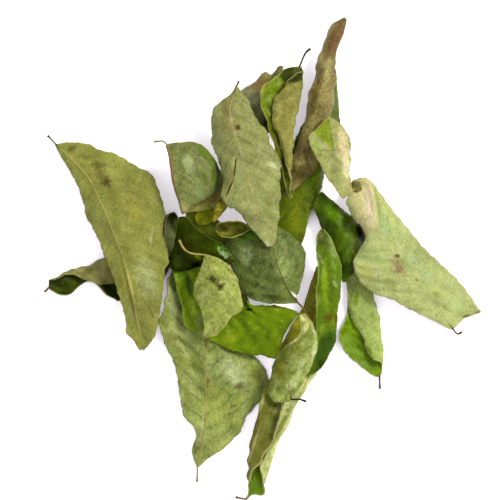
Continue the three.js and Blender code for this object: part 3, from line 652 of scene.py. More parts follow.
def tube(centres: Array, radii: Array, sides: int, flatten: float = 1.0) -> tuple[Array, Array]:
    """A round tube along a line, closed at both ends.

    Args:
        centres: The middle of each ring.
        radii: The radius of each ring.
        sides: How many sides the tube has.
        flatten: The height of a ring as a share of its width.

    Returns:
        The points, ring by ring and then the two end points, and the faces.
    """
    heading = unit(np.gradient(centres, axis=0))
    beside = unit(np.cross(heading, np.array([0.0, 0.0, 1.0])))
    above = np.cross(beside, heading)
    angle = np.arange(sides) * 2 * math.pi / sides
    ring = beside[:, None, :] * np.cos(angle)[None, :, None]
    ring = ring + above[:, None, :] * np.sin(angle)[None, :, None] * flatten
    points = centres[:, None, :] + ring * radii[:, None, None]
    count = len(centres) * sides
    number = np.arange(count).reshape(-1, sides)
    after = np.roll(number, -1, axis=1)
    side = np.stack([number[:-1], after[:-1], after[1:], number[1:]], axis=-1).reshape(-1, 4)
    none = np.full(sides, -1)
    start = np.stack([after[0], number[0], none + 1 + count, none], axis=1)
    end = np.stack([number[-1], after[-1], none + 2 + count, none], axis=1)
    caps = np.stack([centres[0] - heading[0] * radii[0] * 0.4, centres[-1] + heading[-1] * radii[-1] * 0.4])
    return np.concatenate([points.reshape(-1, 3), caps]), np.concatenate([side, start, end])




# ---- The lie of each leaflet ----

FAR_LEFT_ROLLED = Shape(
    stalk=((-48, -7.4, 1.6),),
    rib=((-47.1, -6.4), (-43.8, -7), (-41, -6.3), (-38.5, -4.8), (-36, -4.7), (-32.5, -6), (-28.5, -4.4),
        (-23.5, 1.8), (-18.5, 8.1)),
    arch=(1.5, 0.5, 0.5, 0.8, 1),
    left=Half(margin=((-47.1, -5.9), (-46.5, -4.6), (-44.6, -3.7), (-42, -3), (-37.6, -1.2), (-34.5, 0),
        (-29.3, 3.2), (-23.1, 7.8), (-20, 9.7), (-18.7, 8.8)),
        slope=(10, 5, 5),
        fold=Fold(turn=(80, 140, 174, 178, 174, 160, 60), flap=(0.3, 0.7, 4.7, 5.6, 5.6, 4.4, 1))),
    right=Half(margin=((-47.1, -6.8), (-46.4, -7.5), (-44.6, -8.1), (-42.2, -7.6), (-39.6, -5.6),
        (-37.6, -5.3), (-35.2, -6.4), (-33, -8.8), (-31.2, -9.7), (-26.6, -7.6), (-22, -4.4), (-19.4, 1.2),
        (-18.3, 7.5)),
        slope=(10, 0, 0), curl=(90, 110, 90, 20, 0)),
)
LOWER_LEFT = Shape(
    stalk=((-14.5, -49.2, 1),),
    rib=((-14.3, -46), (-13.1, -39.6), (-12.5, -34.8), (-12.5, -24.6), (-12.3, -19.1), (-13.2, -14.7),
        (-14.7, -9.2), (-16.5, -0.9)),
    arch=(0.5, 0.8, 1.2, 1, 0.8),
    left=Half(margin=((-14.4, -46), (-15.2, -44.4), (-15.6, -42), (-14.7, -39), (-15.5, -36.5),
        (-17.5, -34.7), (-18.2, -30.8), (-19.4, -23.5), (-21.5, -19.2), (-22.5, -15), (-22.2, -12.5),
        (-20.5, -4.4), (-19.4, -1.8), (-16.9, -0.9)),
        slope=(5, 8, -12, -8), curl=(-10, -20, 10, 70, 60)),
    right=Half(margin=((-14.1, -46), (-11.5, -43.7), (-8.8, -42), (-5.6, -39), (-4.6, -37), (-3.5, -34.5),
        (-0.7, -31.5), (0.9, -29.8), (1.1, -27.9), (0.4, -24.4), (-2.9, -20.2), (-5.5, -15.8), (-9, -9.2),
        (-12.1, -3.7), (-14.7, -1.3), (-16.1, -0.9)),
        slope=(-5, -6, -4), curl=(0, -15, -25, -10)),
)
UNDER_SPECKLED = Shape(
    rib=((-17.2, 0.4), (-16.6, -4), (-15.8, -9.2), (-15.2, -13.2), (-14.4, -16)),
    arch=(0, 0.5, 0.5, 0),
    left=Half(margin=((-16.4, 0.4), (-13.8, -1.2), (-12.2, -4.8), (-11.9, -10.3), (-12.4, -14),
        (-13.6, -15.8)),
        slope=(5, 10, 5), curl=(0, 20, 0)),
    right=Half(margin=((-18, 0.4), (-20, -1.8), (-19.2, -5.8), (-18, -10), (-17.6, -13.4), (-16.8, -15.4),
        (-15.2, -16.1)),
        slope=(5, 10, 5), curl=(0, 20, 10)),
)
UNDER_MIDDLE = Shape(
    rib=((-16.6, 10.4), (-13, 7.2), (-9, 4.4), (-5, 2.6)),
    arch=(0.3, 0.6, 0.6, 0.2),
    left=Half(margin=((-16.3, 10.7), (-14, 10.4), (-10.5, 8.6), (-7.4, 6.6), (-5.4, 4.4), (-4.7, 3)),
        slope=(0, -5, 0), curl=(0, -10, 0)),
    right=Half(margin=((-17, 10.1), (-16.6, 6.8), (-14.2, 3.4), (-10.4, 1.6), (-7, 1.2), (-5.2, 2.2)),
        slope=(0, -5, 0), curl=(0, -10, 0)),
)
RIGHT_LOWER = Shape(
    stalk=((25.7, -28.7, 1.2),),
    rib=((25.7, -25.7), (24.2, -20.9), (22.2, -15.6), (20.7, -10.6), (19.8, -5.9), (19.8, -0.9),
        (20.2, 2.2)),
    arch=(0.6, 0.4, 0.8, 1),
    left=Half(margin=((25.5, -26.1), (24.4, -26), (21, -23.5), (17.9, -20.4), (16.8, -17.2), (17.5, -14.7),
        (18.6, -11.9), (18.8, -8.8), (18.5, -3.7), (18.9, 0), (20, 2)),
        slope=(0, 5, 0), curl=(10, 25, 20, 10)),
    right=Half(margin=((26.1, -25.5), (26.2, -22.8), (25.9, -17.9), (25.2, -13), (23.8, -7.7), (22.7, -3.7),
        (21.6, 0), (20.5, 2)),
        slope=(0, 5, 5), fold=Fold(turn=(150, 176, 180, 176, 150), flap=(0.3, 3, 5.2, 4.2, 1.2))),
)
BOTTOM_PALE = Shape(
    stalk=((8.4, -21.8, 0.9),),
    rib=((10.6, -24.9), (7.7, -31.2), (4.6, -36.5), (1.5, -42.7), (-0.2, -50.4)),
    arch=(0.5, 0.8, 0.5, 0.2),
    left=Half(margin=((10.8, -24.9), (11.9, -25.4), (10.6, -27), (9.2, -29), (6.9, -33), (5.7, -36.5),
        (3.1, -41.1), (1.7, -45.5), (0.7, -48.8), (0, -50.4)),
        slope=(0, -5, 0), curl=(0, -15, -20, 0)),
    right=Half(margin=((10.3, -24.9), (7.6, -26.6), (4.4, -32.2), (2, -36.3), (-0.3, -41.3), (-1.3, -45.8),
        (-1.1, -48.8), (-0.3, -50.4)),
        slope=(0, 5, 5), curl=(0, 20, 20, 0)),
)
BOTTOM_ROLLED = Shape(
    stalk=((-6, -52.5, 1.4),),
    rib=((-3.7, -53), (-1.6, -48.8), (-1, -43.3), (0.9, -37.8), (3.1, -32.3), (4.4, -27.9), (5.1, -24.2)),
    arch=(0.8, 0.5, 0.5, 0.8),
    left=Half(margin=((-3.7, -52.7), (-3.2, -51), (-3.1, -46.4), (-2.9, -42.2), (-1.7, -36.7),
        (-0.5, -31.5), (0.9, -27.9), (3.1, -24.6), (4.8, -24.2)),
        slope=(5, 15, 5),
        fold=Fold(turn=(30, 120, 165, 176, 176, 168, 60), flap=(0.5, 1.2, 2.9, 4.4, 4.6, 4, 1))),
    right=Half(margin=((-3.5, -53.2), (-2.2, -52), (0, -51.7), (-0.3, -46.5), (0.3, -43.7), (1.8, -39.4),
        (3, -35.1), (4.6, -31.4), (5.5, -27.9), (5.7, -25.1), (5.3, -24.2)),
        slope=(0, 10, 5), curl=(20, 60, 80, 70, 20)),
)
OLIVE_STRIP = Shape(
    stalk=((13.9, -3.1, 0.9),),
    rib=((11.9, -2), (9.9, -8.8), (7.7, -15.4), (4, -21.6)),
    arch=(0.5, 0.8, 0.5, 0),
    left=Half(margin=((12.1, -2.2), (12.8, -5.9), (12.6, -11.4), (11.2, -16.9), (7.2, -21.8), (4.4, -21.9)),
        slope=(0, 5, 0), curl=(0, 15, 0)),
    right=Half(margin=((11.7, -2), (10.8, -4.6), (8.8, -10.6), (6.4, -14.7), (4.1, -19.1), (3.7, -21.3)),
        slope=(0, -10, 0), curl=(0, -20, 0)),
)
GLOSSY_UPPER = Shape(
    stalk=((14.5, 37, 0.9),),
    rib=((16, 39.2), (15.6, 34.8), (13.6, 28.2), (11.2, 21.6), (9, 16.1), (7.9, 11.7), (7.6, 7.3),
        (8.1, 2.9)),
    arch=(0.4, 0.8, 1.2, 1.5, 0.4),
    left=Half(margin=((16.2, 39.2), (16.8, 31.7), (16.9, 29), (16.3, 25.5), (14.7, 21.6), (13.6, 17.7),
        (12.5, 14.6), (11, 11.4), (9.9, 8.3), (9.2, 4.9), (8.4, 2.9)),
        slope=(0, -8, -10, 0), curl=(0, -20, -30, 0)),
    right=Half(margin=((15.7, 38.9), (14.7, 37.8), (12.5, 35.4), (9.4, 30.4), (6, 23.8), (3.6, 18.3),
        (2.2, 13.6), (1.8, 10.1), (2.6, 6.7), (5.6, 4.4), (7.9, 2.9)),
        slope=(0, 0, -8, 5), curl=(0, -15, -25, 0)),
)
DARK_RIGHT = Shape(
    rib=((11.4, 12.5), (14.3, 9.9), (17.2, 5.9), (18.3, 1.3), (18, -5.3)),
    arch=(0.5, 1.5, 1.8, 0.5),
    left=Half(margin=((11.6, 12.8), (12.8, 14.4), (15.9, 12.2), (19.6, 9), (21.8, 7.8), (23.3, 5.4),
        (22.8, 2.6), (21.4, -0.2), (19.9, -2.9), (18.5, -5.1)),
        slope=(0, -10, -15, 0), curl=(0, -40, -70, -20)),
    right=Half(margin=((11.3, 12.3), (11, 11), (12.8, 7.4), (14.1, 4.4), (15.8, 1.1), (16.8, -1.3),
        (17.2, -4.8), (17.7, -5.3)),
        slope=(0, -5, -5, 0), curl=(0, -30, -30, -10)),
)
TOP_GREY = Shape(
    rib=((1.7, 40.2), (0.6, 36.4), (0, 33.4), (0.2, 30.4), (1, 27.4)),
    arch=(1, 0.5, 0.5, 0.5),
    left=Half(margin=((2.5, 40.8), (3.2, 41.3), (3.7, 42.1), (4.5, 41.6), (4.4, 37.9), (3.6, 34.4),
        (2.8, 31), (1.5, 27.6)),
        slope=(0, 5, 5, 0), curl=(40, 30, 20, 0)),
    right=Half(margin=((1.1, 40.5), (0.4, 40.9), (-1.1, 39.6), (-2.9, 38.1), (-4.4, 36.3), (-3.8, 33.4),
        (-2.6, 30.4), (0.5, 27.5)),
        slope=(0, -15, -10, 0), curl=(-10, -60, -50, -10)),
)
BRIGHT_CENTRE = Shape(
    rib=((13, 6.3), (13.9, 1.8), (14.4, -3.7), (14.2, -9.2), (13.9, -14.7), (12.5, -20.7), (9.5, -26)),
    arch=(0.5, 1, 1.2, 1, 0.4),
    left=Half(margin=((13.4, 6.3), (15, 4.2), (16.1, 1.3), (17.2, -1.8), (17.1, -6.3), (16.3, -10.5),
        (16.1, -17.2), (14.4, -21.4), (12.4, -24.6), (9.9, -26.1)),
        slope=(0, -8, -12, 0), curl=(0, -35, -45, -10)),
    right=Half(margin=((12.5, 6.3), (11.7, 4.8), (11.7, 1.8), (11.9, -4.2), (11.5, -11.6), (11.7, -19.3),
        (10.8, -22.8), (9.2, -25.7)),
        slope=(0, 5, 0, 0), curl=(10, 30, 30, 0)),
)
RIGHT_LARGE = Shape(
    stalk=((43.7, -16.3, 2.4), (42.7, -16.7, 1.9)),
    rib=((41.6, -15.6), (37, -9.7), (31.7, -3.3), (27.3, 2.9), (23.8, 9), (21.3, 13), (18.7, 13.4)),
    arch=(1.5, 0.8, 1, 2.5, 2.5),
    left=Half(margin=((41.4, -15.8), (36.4, -13.3), (32.2, -11.2), (27.3, -8.6), (24.2, -7.7), (21.7, -5.8),
        (20.3, -3.1), (20, -0.4), (21, 2.2), (22.4, 4.5), (21.7, 6.9), (19.6, 9), (18.2, 11.7),
        (18.3, 12.8)),
        slope=(0, -5, -10, -10), curl=(0, -15, -30, -30)),
    right=Half(margin=((41.9, -15.5), (44.5, -13.3), (47.3, -12), (47.6, -11.2), (43.1, -5.3), (39.2, -1.4),
        (35.7, 1.8), (32.2, 5.9), (28.7, 10.1), (25.9, 13.9), (23.8, 16.7), (21.1, 17.3), (19.3, 16.8),
        (18.6, 14.3)),
        slope=(0, 5, 5, -15), curl=(0, 10, 0, -60)),
)
BRIGHT_LOW = Shape(
    stalk=((10.6, -14.7, 0.9),),
    rib=((7.7, -12.1), (2.9, -14.7), (-2.4, -16.1), (-7.7, -16.9), (-12.5, -17.4)),
    arch=(0.3, 0.8, 1, 0.6, 0.2),
    left=Half(margin=((7.5, -12.5), (5.9, -14.7), (4.2, -17.9), (3.3, -21.8), (-0.7, -21.4), (-4.6, -20.9),
        (-8.1, -19.7), (-12.4, -17.6)),
        slope=(0, -4, -4, 0), curl=(0, -12, -12, 0)),
    right=Half(margin=((7.3, -11.6), (3.5, -10.5), (-1, -10.3), (-3, -9.8), (-3.8, -8), (-5, -7.2),
        (-6.4, -9), (-8.6, -13), (-12.4, -17.2)),
        slope=(0, 3, 3, 0), curl=(0, 10, 10, 0)),
)
ROUND_DARK = Shape(
    stalk=((11.4, -15.8, 0.9), (8.9, -11.3, 1.5)),
    rib=((7.6, -9.8), (5.3, -6.7), (3.3, -2), (1.8, 2.3), (-0.2, 5.7), (-2.4, 7.9)),
    arch=(0.8, 1.2, 1.5, 1.2, 0.5),
    left=Half(margin=((7.2, -9.8), (5.1, -10), (1.5, -10), (-2.2, -9.2), (-4.3, -7.6), (-5.6, -5), (-7, -2),
        (-8.3, 1), (-8.4, 3.3), (-7, 5.3), (-4.6, 7), (-2.6, 7.9)),
        slope=(0, -6, -6, 0), curl=(0, -25, -35, -10)),
    right=Half(margin=((7.5, -9.4), (7, -8), (7.9, -7.1), (8.5, -4.7), (9.4, -1.3), (8.9, 1.8), (7.5, 3.7),
        (4, 6.7), (0.7, 8.4), (-2, 8.1)),
        slope=(0, -6, -6, 0), curl=(0, -25, -30, -10)),
)
SMALL_OVAL = Shape(
    rib=((-11, 11.4), (-12.6, 9.4), (-13.6, 7.2)),
    arch=(0.4, 0.4, 0.4),
    left=Half(margin=((-10.7, 11.2), (-10.7, 9.6), (-11.3, 7.9), (-13.2, 7.1)),
        slope=(10, 20, 10), curl=(10, 30, 10)),
    right=Half(margin=((-11.4, 11.6), (-13.2, 11), (-14.6, 9.6), (-14.8, 8.2), (-14, 7.2)),
        slope=(10, 20, 10), curl=(10, 30, 10)),
)
UNDER_UPPER_LEFT = Shape(
    rib=((-17.8, 10.2), (-15.6, 13.4), (-12, 15.4), (-7.4, 17)),
    arch=(0.3, 0.5, 0.5, 0.2),
    left=Half(margin=((-18, 10.3), (-18.4, 13.6), (-15, 17.8), (-10.4, 19), (-7.6, 17.4)),
        slope=(0, -5, 0), curl=(0, -10, 0)),
    right=Half(margin=((-17.5, 10), (-15.6, 10.1), (-12.6, 10.6), (-9.6, 11.9), (-7, 14.6), (-7, 16.7)),
        slope=(0, 5, 0), curl=(0, 15, 0)),
)
UPPER_LEFT = Shape(
    stalk=((-23.8, 25.5, 2.2), (-22, 25.6, 1.5)),
    rib=((-21.1, 24.9), (-20.1, 21.6), (-19.5, 17.2), (-18.5, 13.4), (-17.3, 9.7)),
    arch=(1.5, 1.5, 1.8, 2, 1.5),
    left=Half(margin=((-20.7, 25.1), (-19.1, 25.3), (-15, 25.3), (-12.3, 23.8), (-10.5, 21.6), (-9.2, 18.9),
        (-9, 16.7), (-10.1, 14.7), (-13, 13), (-15.6, 11.4), (-16.9, 9.8)),
        slope=(5, 6, 0, -5), curl=(-10, -40, -70, -40)),
    right=Half(margin=((-21.3, 24.6), (-20.6, 21.6), (-19.9, 17.2), (-18.9, 13.2), (-17.6, 9.6)),
        slope=(0, 0, 0), curl=(-20, -60, -60, -20)),
)
BROWN_TOP = Shape(
    rib=((5.7, 14.5), (7.5, 20), (9.9, 26.6), (11.9, 33.7), (13.4, 40.3), (15.3, 46.9), (18.1, 52.6)),
    arch=(0.4, 1.2, 1.6, 1.6, 1.2, 1),
    left=Half(margin=((5.4, 14.7), (5.5, 17.2), (6.1, 20.4), (7, 23.5), (9, 28.7), (9.8, 33.6),
        (10.9, 38.1), (12, 42.2), (13.2, 46.7), (14.7, 50.4), (16.1, 51.9), (17.8, 52.9)),
        slope=(0, -12, -15, -15), curl=(-10, -50, -110, -120, -60)),
    right=Half(margin=((6.2, 14.4), (9, 16.7), (11.4, 19.4), (13.1, 23.8), (14.2, 28.6), (15.2, 33.7),
        (15.9, 39.2), (15.7, 41.8), (15.8, 44.4), (16.9, 47.6), (18.5, 52.3)),
        slope=(0, -8, -15, -15), curl=(-10, -25, -80, -110, -60)),
)
DARK_MIDDLE = Shape(
    rib=((-18.2, 9), (-16.1, 4.8), (-12.1, 1.8), (-6.6, -0.9)),
    arch=(0.8, 1, 1.2, 0.5),
    left=Half(margin=((-17.7, 9.1), (-16.5, 8.9), (-14.3, 6.5), (-11.4, 4.3), (-9.1, 3.1), (-7.3, 1.5),
        (-6.3, -0.4)),
        slope=(0, -8, -8, 0), curl=(0, -30, -40, 0)),
    right=Half(margin=((-18.5, 9), (-18.9, 6.3), (-19.3, 3.8), (-20.2, 1), (-20.3, -1), (-19.5, -2.2),
        (-16.9, -2.5), (-14.1, -2.3), (-10.6, -2.4), (-7.3, -1.5)),
        slope=(0, -8, -15, -5), curl=(-5, -40, -55, -20)),
)
SMALL_ROLLED = Shape(
    rib=((-10.5, 6.4), (-6.8, 6.1), (-2.4, 6.7)),
    arch=(0.2, 0.2, 0.2),
    left=Half(margin=((-10.3, 6.9), (-9.5, 7.7), (-5.7, 8.1), (-2.6, 7)),
        slope=(10, 25, 10), curl=(40, 75, 40)),
    right=Half(margin=((-10.3, 5.8), (-9.2, 4.8), (-6.8, 4.5), (-4, 5.6), (-2.4, 6.4)),
        slope=(10, 25, 10), curl=(40, 75, 40)),
)
TOP_FOLDED = Shape(
    stalk=((10.3, 45.8, 3.2), (9.2, 44.7, 2.6)),
    rib=((8, 41.8), (6.7, 39.8), (5.2, 36.5), (4.3, 31.5), (4.1, 28.2), (4.4, 23.8), (4.7, 19.4), (5, 16.1),
        (6.3, 13)),
    arch=(1.5, 0.8, 0.8, 1.2, 1, 0.4),
    left=Half(margin=((8.3, 41.9), (8.6, 40.3), (8.4, 37.5), (7.4, 32.6), (6.7, 28.2), (6.3, 23.8),
        (6.1, 20), (6.1, 17.6), (5.9, 15), (6.6, 12.8)),
        slope=(0, 0, 0, 0),
        fold=Fold(
            turn=(120, 170, 176, 176, 176, 170, 150, 120), flap=(0.3, 3, 4.8, 4.4, 2.2, 0.9, 0.5, 0.3))),
    right=Half(margin=((7.7, 42), (5.5, 41.7), (4.2, 41), (2.6, 39.6), (0.4, 38.1), (-0.7, 36.7),
        (-0.4, 33.9), (0.2, 31.2), (1.1, 28.2), (2.3, 24.8), (3.6, 21.2), (4.5, 17.9), (4.9, 15.1),
        (6.1, 12.9)),
        slope=(0, 5, 10, 10), curl=(0, 20, 30, 30, 20)),
)
SPECKLED = Shape(
    stalk=((-18.3, 3.9, 1.2), (-17.4, 2.2, 1.6), (-15.8, 1.1, 1.6)),
    rib=((-12.5, 0.7), (-11.2, -3.1), (-10.1, -8.1), (-11, -13.2), (-12.8, -17.2)),
    arch=(0.8, 1.2, 1.6, 1.2, 0.4),
    left=Half(margin=((-12.1, 0.8), (-9.4, -0.2), (-7.2, -1.8), (-5.8, -4.9), (-4.8, -8.3), (-4.5, -11.4),
        (-6.7, -12.9), (-8.2, -14.6), (-10.1, -17), (-12.4, -17.4)),
        slope=(0, -6, -6, 0), curl=(-5, -25, -30, -10)),
    right=Half(margin=((-12.8, 0.6), (-13.5, -1.8), (-14.6, -5.2), (-15.3, -7.3), (-14.8, -9.1),
        (-13.4, -11.6), (-13, -14.9), (-13, -17.2)),
        slope=(0, -8, -8, 0), curl=(-5, -30, -30, -10)),
)
PALE_CURLED = Shape(
    stalk=((9.4, -31.4, 1.2), (7.9, -30.9, 1)),
    rib=((6.2, -31), (5.7, -27.5), (6.6, -22.9), (8.4, -18.5), (9.6, -15.4), (9, -12.1)),
    arch=(0.4, 1.2, 1.6, 1.4, 0.8),
    left=Half(margin=((5.9, -31.4), (4.6, -31.6), (2.4, -31.2), (1.3, -29.1), (1.7, -24.9), (3.7, -20.7),
        (5.6, -18.6), (7.6, -17.2), (8.5, -15), (7.9, -12.3)),
        slope=(0, -10, -10, 0), curl=(-5, -40, -45, 20, 110)),
    right=Half(margin=((6.4, -30.7), (8.7, -27), (10.8, -23.5), (11.5, -20.7), (11.7, -17.9), (11.2, -14.9),
        (10.2, -13.4), (9.2, -12)),
        slope=(0, -6, -8, 0), curl=(-5, -30, -50, -40, -10)),
)
FOLDED_RIGHT = Shape(
    rib=((14.3, 30.9), (15.1, 27.1), (16.1, 22.2), (17.3, 17.2), (18.3, 13.6)),
    arch=(1, 1.6, 1.8, 1.2, 0.5),
    left=Half(margin=((14.6, 30.9), (16.3, 29.9), (17.7, 28.7), (18.9, 26.2), (18.9, 22.7), (19.1, 17.7),
        (19.4, 14.3), (18.6, 13.5)),
        slope=(-10, -20, -15, 0), curl=(0, -40, -50, -30)),
    right=Half(margin=((14.1, 30.8), (11.7, 28.5), (9.9, 26.4), (11, 23.1), (12.1, 21.1), (13.9, 17.7),
        (15.9, 15), (17.2, 13.1), (18, 13.2)),
        slope=(-10, -12, -5, 0), curl=(0, 15, 10, 0)),
)
TORN_YELLOW = Shape(
    rib=((-7.3, 13.2), (-9, 10.8), (-10.9, 7.9)),
    arch=(0.6, 0.3, 0.2),
    left=Half(margin=((-7, 12.9), (-7.4, 11.7), (-9, 9.7), (-10.6, 7.8)),
        slope=(0, -10, 0), curl=(0, -20, 0)),
    right=Half(margin=((-7.6, 13.4), (-9.5, 12.7), (-10.7, 10.8), (-11.1, 8.1)),
        slope=(0, 15, 0), curl=(0, 30, 0)),
)
CENTRE = Shape(
    stalk=((-5.3, 38.6, 1.8),),
    rib=((-5.7, 37.5), (-7.2, 33), (-6.6, 28.2), (-5.1, 23.3), (-2.9, 17.8), (-1.1, 12.1), (0.2, 7),
        (1.3, 2.6)),
    arch=(1.2, 1.2, 1, 1.2, 0.6),
    left=Half(margin=((-5.5, 37.5), (-4.6, 36.1), (-3.1, 34.3), (-2.3, 31.8), (0.5, 28.1), (1.3, 25.3),
        (3, 22.7), (4, 20.6), (3.6, 17.1), (3.8, 13.5), (3.4, 9), (2.7, 3.4), (1.5, 2.4)),
        slope=(0, -6, -4, 0), curl=(-10, -35, -25, -10)),
    right=Half(margin=((-5.9, 37.3), (-7.2, 35.7), (-9.7, 33.9), (-10.8, 32.2), (-11.5, 28.1),
        (-11.2, 25.5), (-10.1, 23.1), (-9.4, 20.4), (-9, 16.1), (-8.9, 13.2), (-7.4, 11), (-6, 10.7),
        (-3.8, 7.9), (-1.8, 5.7), (1, 2.4)),
        slope=(0, -6, -2, 0), curl=(-10, -55, -30, -5)),
)
LEFT_LARGE = Shape(
    stalk=((-47.3, 26.9, 3.6),),
    rib=((-45.7, 25.1), (-42.2, 21.9), (-38.6, 17.9), (-35.3, 11.6), (-31.9, 3.6), (-29.4, -4.5),
        (-27.7, -13.3), (-26.6, -20.1)),
    arch=(2.6, 1.2, 0.8, 1.2, 0.8),
    left=Half(margin=((-45.3, 25.2), (-42.8, 25.5), (-38.6, 25.1), (-35.7, 23.6), (-32.3, 22.9),
        (-27.1, 19.6), (-24.5, 18.4), (-23.1, 15.6), (-21.6, 10.1), (-21.9, 6.6), (-20.8, -0.2),
        (-21.5, -2.5), (-22, -7.8), (-23.2, -15.3), (-24.2, -18), (-26.3, -20.4)),
        slope=(5, 2, -2, 0), curl=(-10, -25, -20, 10)),
    right=Half(margin=((-45.8, 24.9), (-44.7, 22.8), (-43.3, 20.5), (-40.3, 15.2), (-39.8, 12.5),
        (-38.8, 9.1), (-37.4, 6.8), (-36.1, 4), (-33.7, -1.8), (-31.2, -9.6), (-30.1, -13.7), (-30, -16.5),
        (-28.6, -17.8), (-27, -20.4)),
        slope=(-10, -15, -8, 0), curl=(-5, -20, -5, 20)),
)
# ---- Nodes ----


@dataclass(frozen=True)
class Signal:
    """A value that changes over a surface, which takes part in sums as a plain number does.

    Attributes:
        wire: What places the nodes of its tree.
        socket: The output that it comes from.
    """

    wire: "Wiring"
    socket: Socket

    def __add__(self, other: "Input") -> "Signal":
        """This with another added."""
        return self.wire.maths("ADD", self, other)

    def __sub__(self, other: "Input") -> "Signal":
        """This with another taken away."""
        return self.wire.maths("SUBTRACT", self, other)

    def __rsub__(self, other: "Input") -> "Signal":
        """Another with this taken away."""
        return self.wire.maths("SUBTRACT", other, self)

    def __mul__(self, other: "Input") -> "Signal":
        """This times another."""
        return self.wire.maths("MULTIPLY", self, other)

    def __truediv__(self, other: "Input") -> "Signal":
        """This divided by another."""
        return self.wire.maths("DIVIDE", self, other)

    def __rtruediv__(self, other: "Input") -> "Signal":
        """Another divided by this."""
        return self.wire.maths("DIVIDE", other, self)

    def __pow__(self, other: "Input") -> "Signal":
        """This raised to a power."""
        return self.wire.maths("POWER", self, other)

    def __abs__(self) -> "Signal":
        """This without its sign."""
        return self.wire.maths("ABSOLUTE", self)


Input = Union[float, Sequence[float], Signal]
Inputs = dict[Union[str, int], Input]


class Wiring:
    """Places nodes in a tree and joins them."""

    def __init__(self, tree: bpy.types.NodeTree) -> None:
        """Takes the tree that the nodes go into."""
        self.tree = tree

    def feed(self, socket: Socket, value: Input) -> None:
        """Sets an input to a value, or joins it to a signal.

        Args:
            socket: The input.
            value: The value or the signal.
        """
        if isinstance(value, Signal):
            self.tree.links.new(value.socket, socket)
        else:
            socket.default_value = value

    def place(self, kind: str, inputs: Inputs, **settings: object) -> bpy.types.Node:
        """Places one node.

        Args:
            kind: Its type.
            inputs: Values or signals for its inputs, by name or number.
            settings: Its own settings.

        Returns:
            The node.
        """
        node = self.tree.nodes.new(kind)
        for key, value in settings.items():
            setattr(node, key, value)
        for key, value in inputs.items():
            self.feed(node.inputs[key], value)
        return node

    def signal(self, kind: str, inputs: Inputs, output: Union[str, int] = 0, **settings: object) -> Signal:
        """Places one node and reads one of its outputs.

        Args:
            kind: Its type.
            inputs: Values or signals for its inputs, by name or number.
            output: The name or number of the output.
            settings: Its own settings.

        Returns:
            What comes out.
        """
        return Signal(self, self.place(kind, inputs, **settings).outputs[output])

    def maths(self, operation: str, *values: Input) -> Signal:
        """The result of one sum on numbers."""
        return self.signal("ShaderNodeMath", dict(enumerate(values)), operation=operation)

    def vector(self, operation: str, *values: Input) -> Signal:
        """The result of one sum on vectors."""
        return self.signal("ShaderNodeVectorMath", dict(enumerate(values)), operation=operation)

    def blend(self, share: Input, first: Input, second: Input, how: str = "MIX") -> Signal:
        """Two colours blended, the share being that of the second."""
        settings = {"data_type": "RGBA", "blend_type": how, "clamp_factor": True}
        return self.signal("ShaderNodeMix", {0: share, 6: first, 7: second}, 2, **settings)

    def between(self, value: Input, low: Input, high: Input, start: Input = 0, end: Input = 1) -> Signal:
        """A value eased from start to end as it goes from low to high."""
        inputs = {"Value": value, "From Min": low, "From Max": high, "To Min": start, "To Max": end}
        return self.signal("ShaderNodeMapRange", inputs, interpolation_type="SMOOTHSTEP")

    def held(self, name: str) -> Signal:
        """A value held at the points of the mesh."""
        return self.signal("ShaderNodeAttribute", {}, "Fac", attribute_name=name, attribute_type="GEOMETRY")

    def noise(self, place: Input, scale: Input, detail: float = 3.0) -> Signal:
        """Smooth noise from 0 to 1 at a place."""
        return self.signal("ShaderNodeTexNoise", {"Vector": place, "Scale": scale, "Detail": detail})

    def openness(self, reach: float) -> Signal:
        """How open a point is to its surroundings, as far as the reach in metres."""
        return self.signal("ShaderNodeAmbientOcclusion", {"Distance": reach}, "AO")

    def finish(self, inputs: Inputs) -> None:
        """Ends a material with one shader that has these inputs."""
        self.place("ShaderNodeOutputMaterial", {"Surface": self.signal("ShaderNodeBsdfPrincipled", inputs)})


class Effect(Wiring):
    """An effect that several finishes share: a group of nodes with named inputs and outputs."""

    def __init__(self, name: str, inputs: dict[str, Union[float, Vector]], *outputs: str) -> None:
        """Starts the group.

        Args:
            name: Its name.
            inputs: The default of each input, by name.
            outputs: The names of its outputs, which are all numbers.
        """
        super().__init__(bpy.data.node_groups.new(name, "ShaderNodeTree"))
        for key, default in inputs.items():
            kind = "NodeSocketVector" if isinstance(default, tuple) else "NodeSocketFloat"
            socket = self.tree.interface.new_socket(name=key, in_out="INPUT", socket_type=kind)
            socket.default_value = default
        for key in outputs:
            self.tree.interface.new_socket(name=key, in_out="OUTPUT", socket_type="NodeSocketFloat")
        come = self.place("NodeGroupInput", {}).outputs
        self.come = {socket.name: Signal(self, socket) for socket in come}
        self.go = self.place("NodeGroupOutput", {}).inputs

    def give(self, name: str, value: Signal) -> None:
        """Sends a value out of the group."""
        self.feed(self.go[name], value)

    def on(self, wire: Wiring, inputs: dict[str, Input], output: str = "Mask") -> Signal:
        """Places the effect in a material and reads one of its outputs."""
        return wire.signal("ShaderNodeGroup", inputs, output, node_tree=self.tree)


# ---- Effects ----

HERE: Vector = (0.0, 0.0, 0.0)


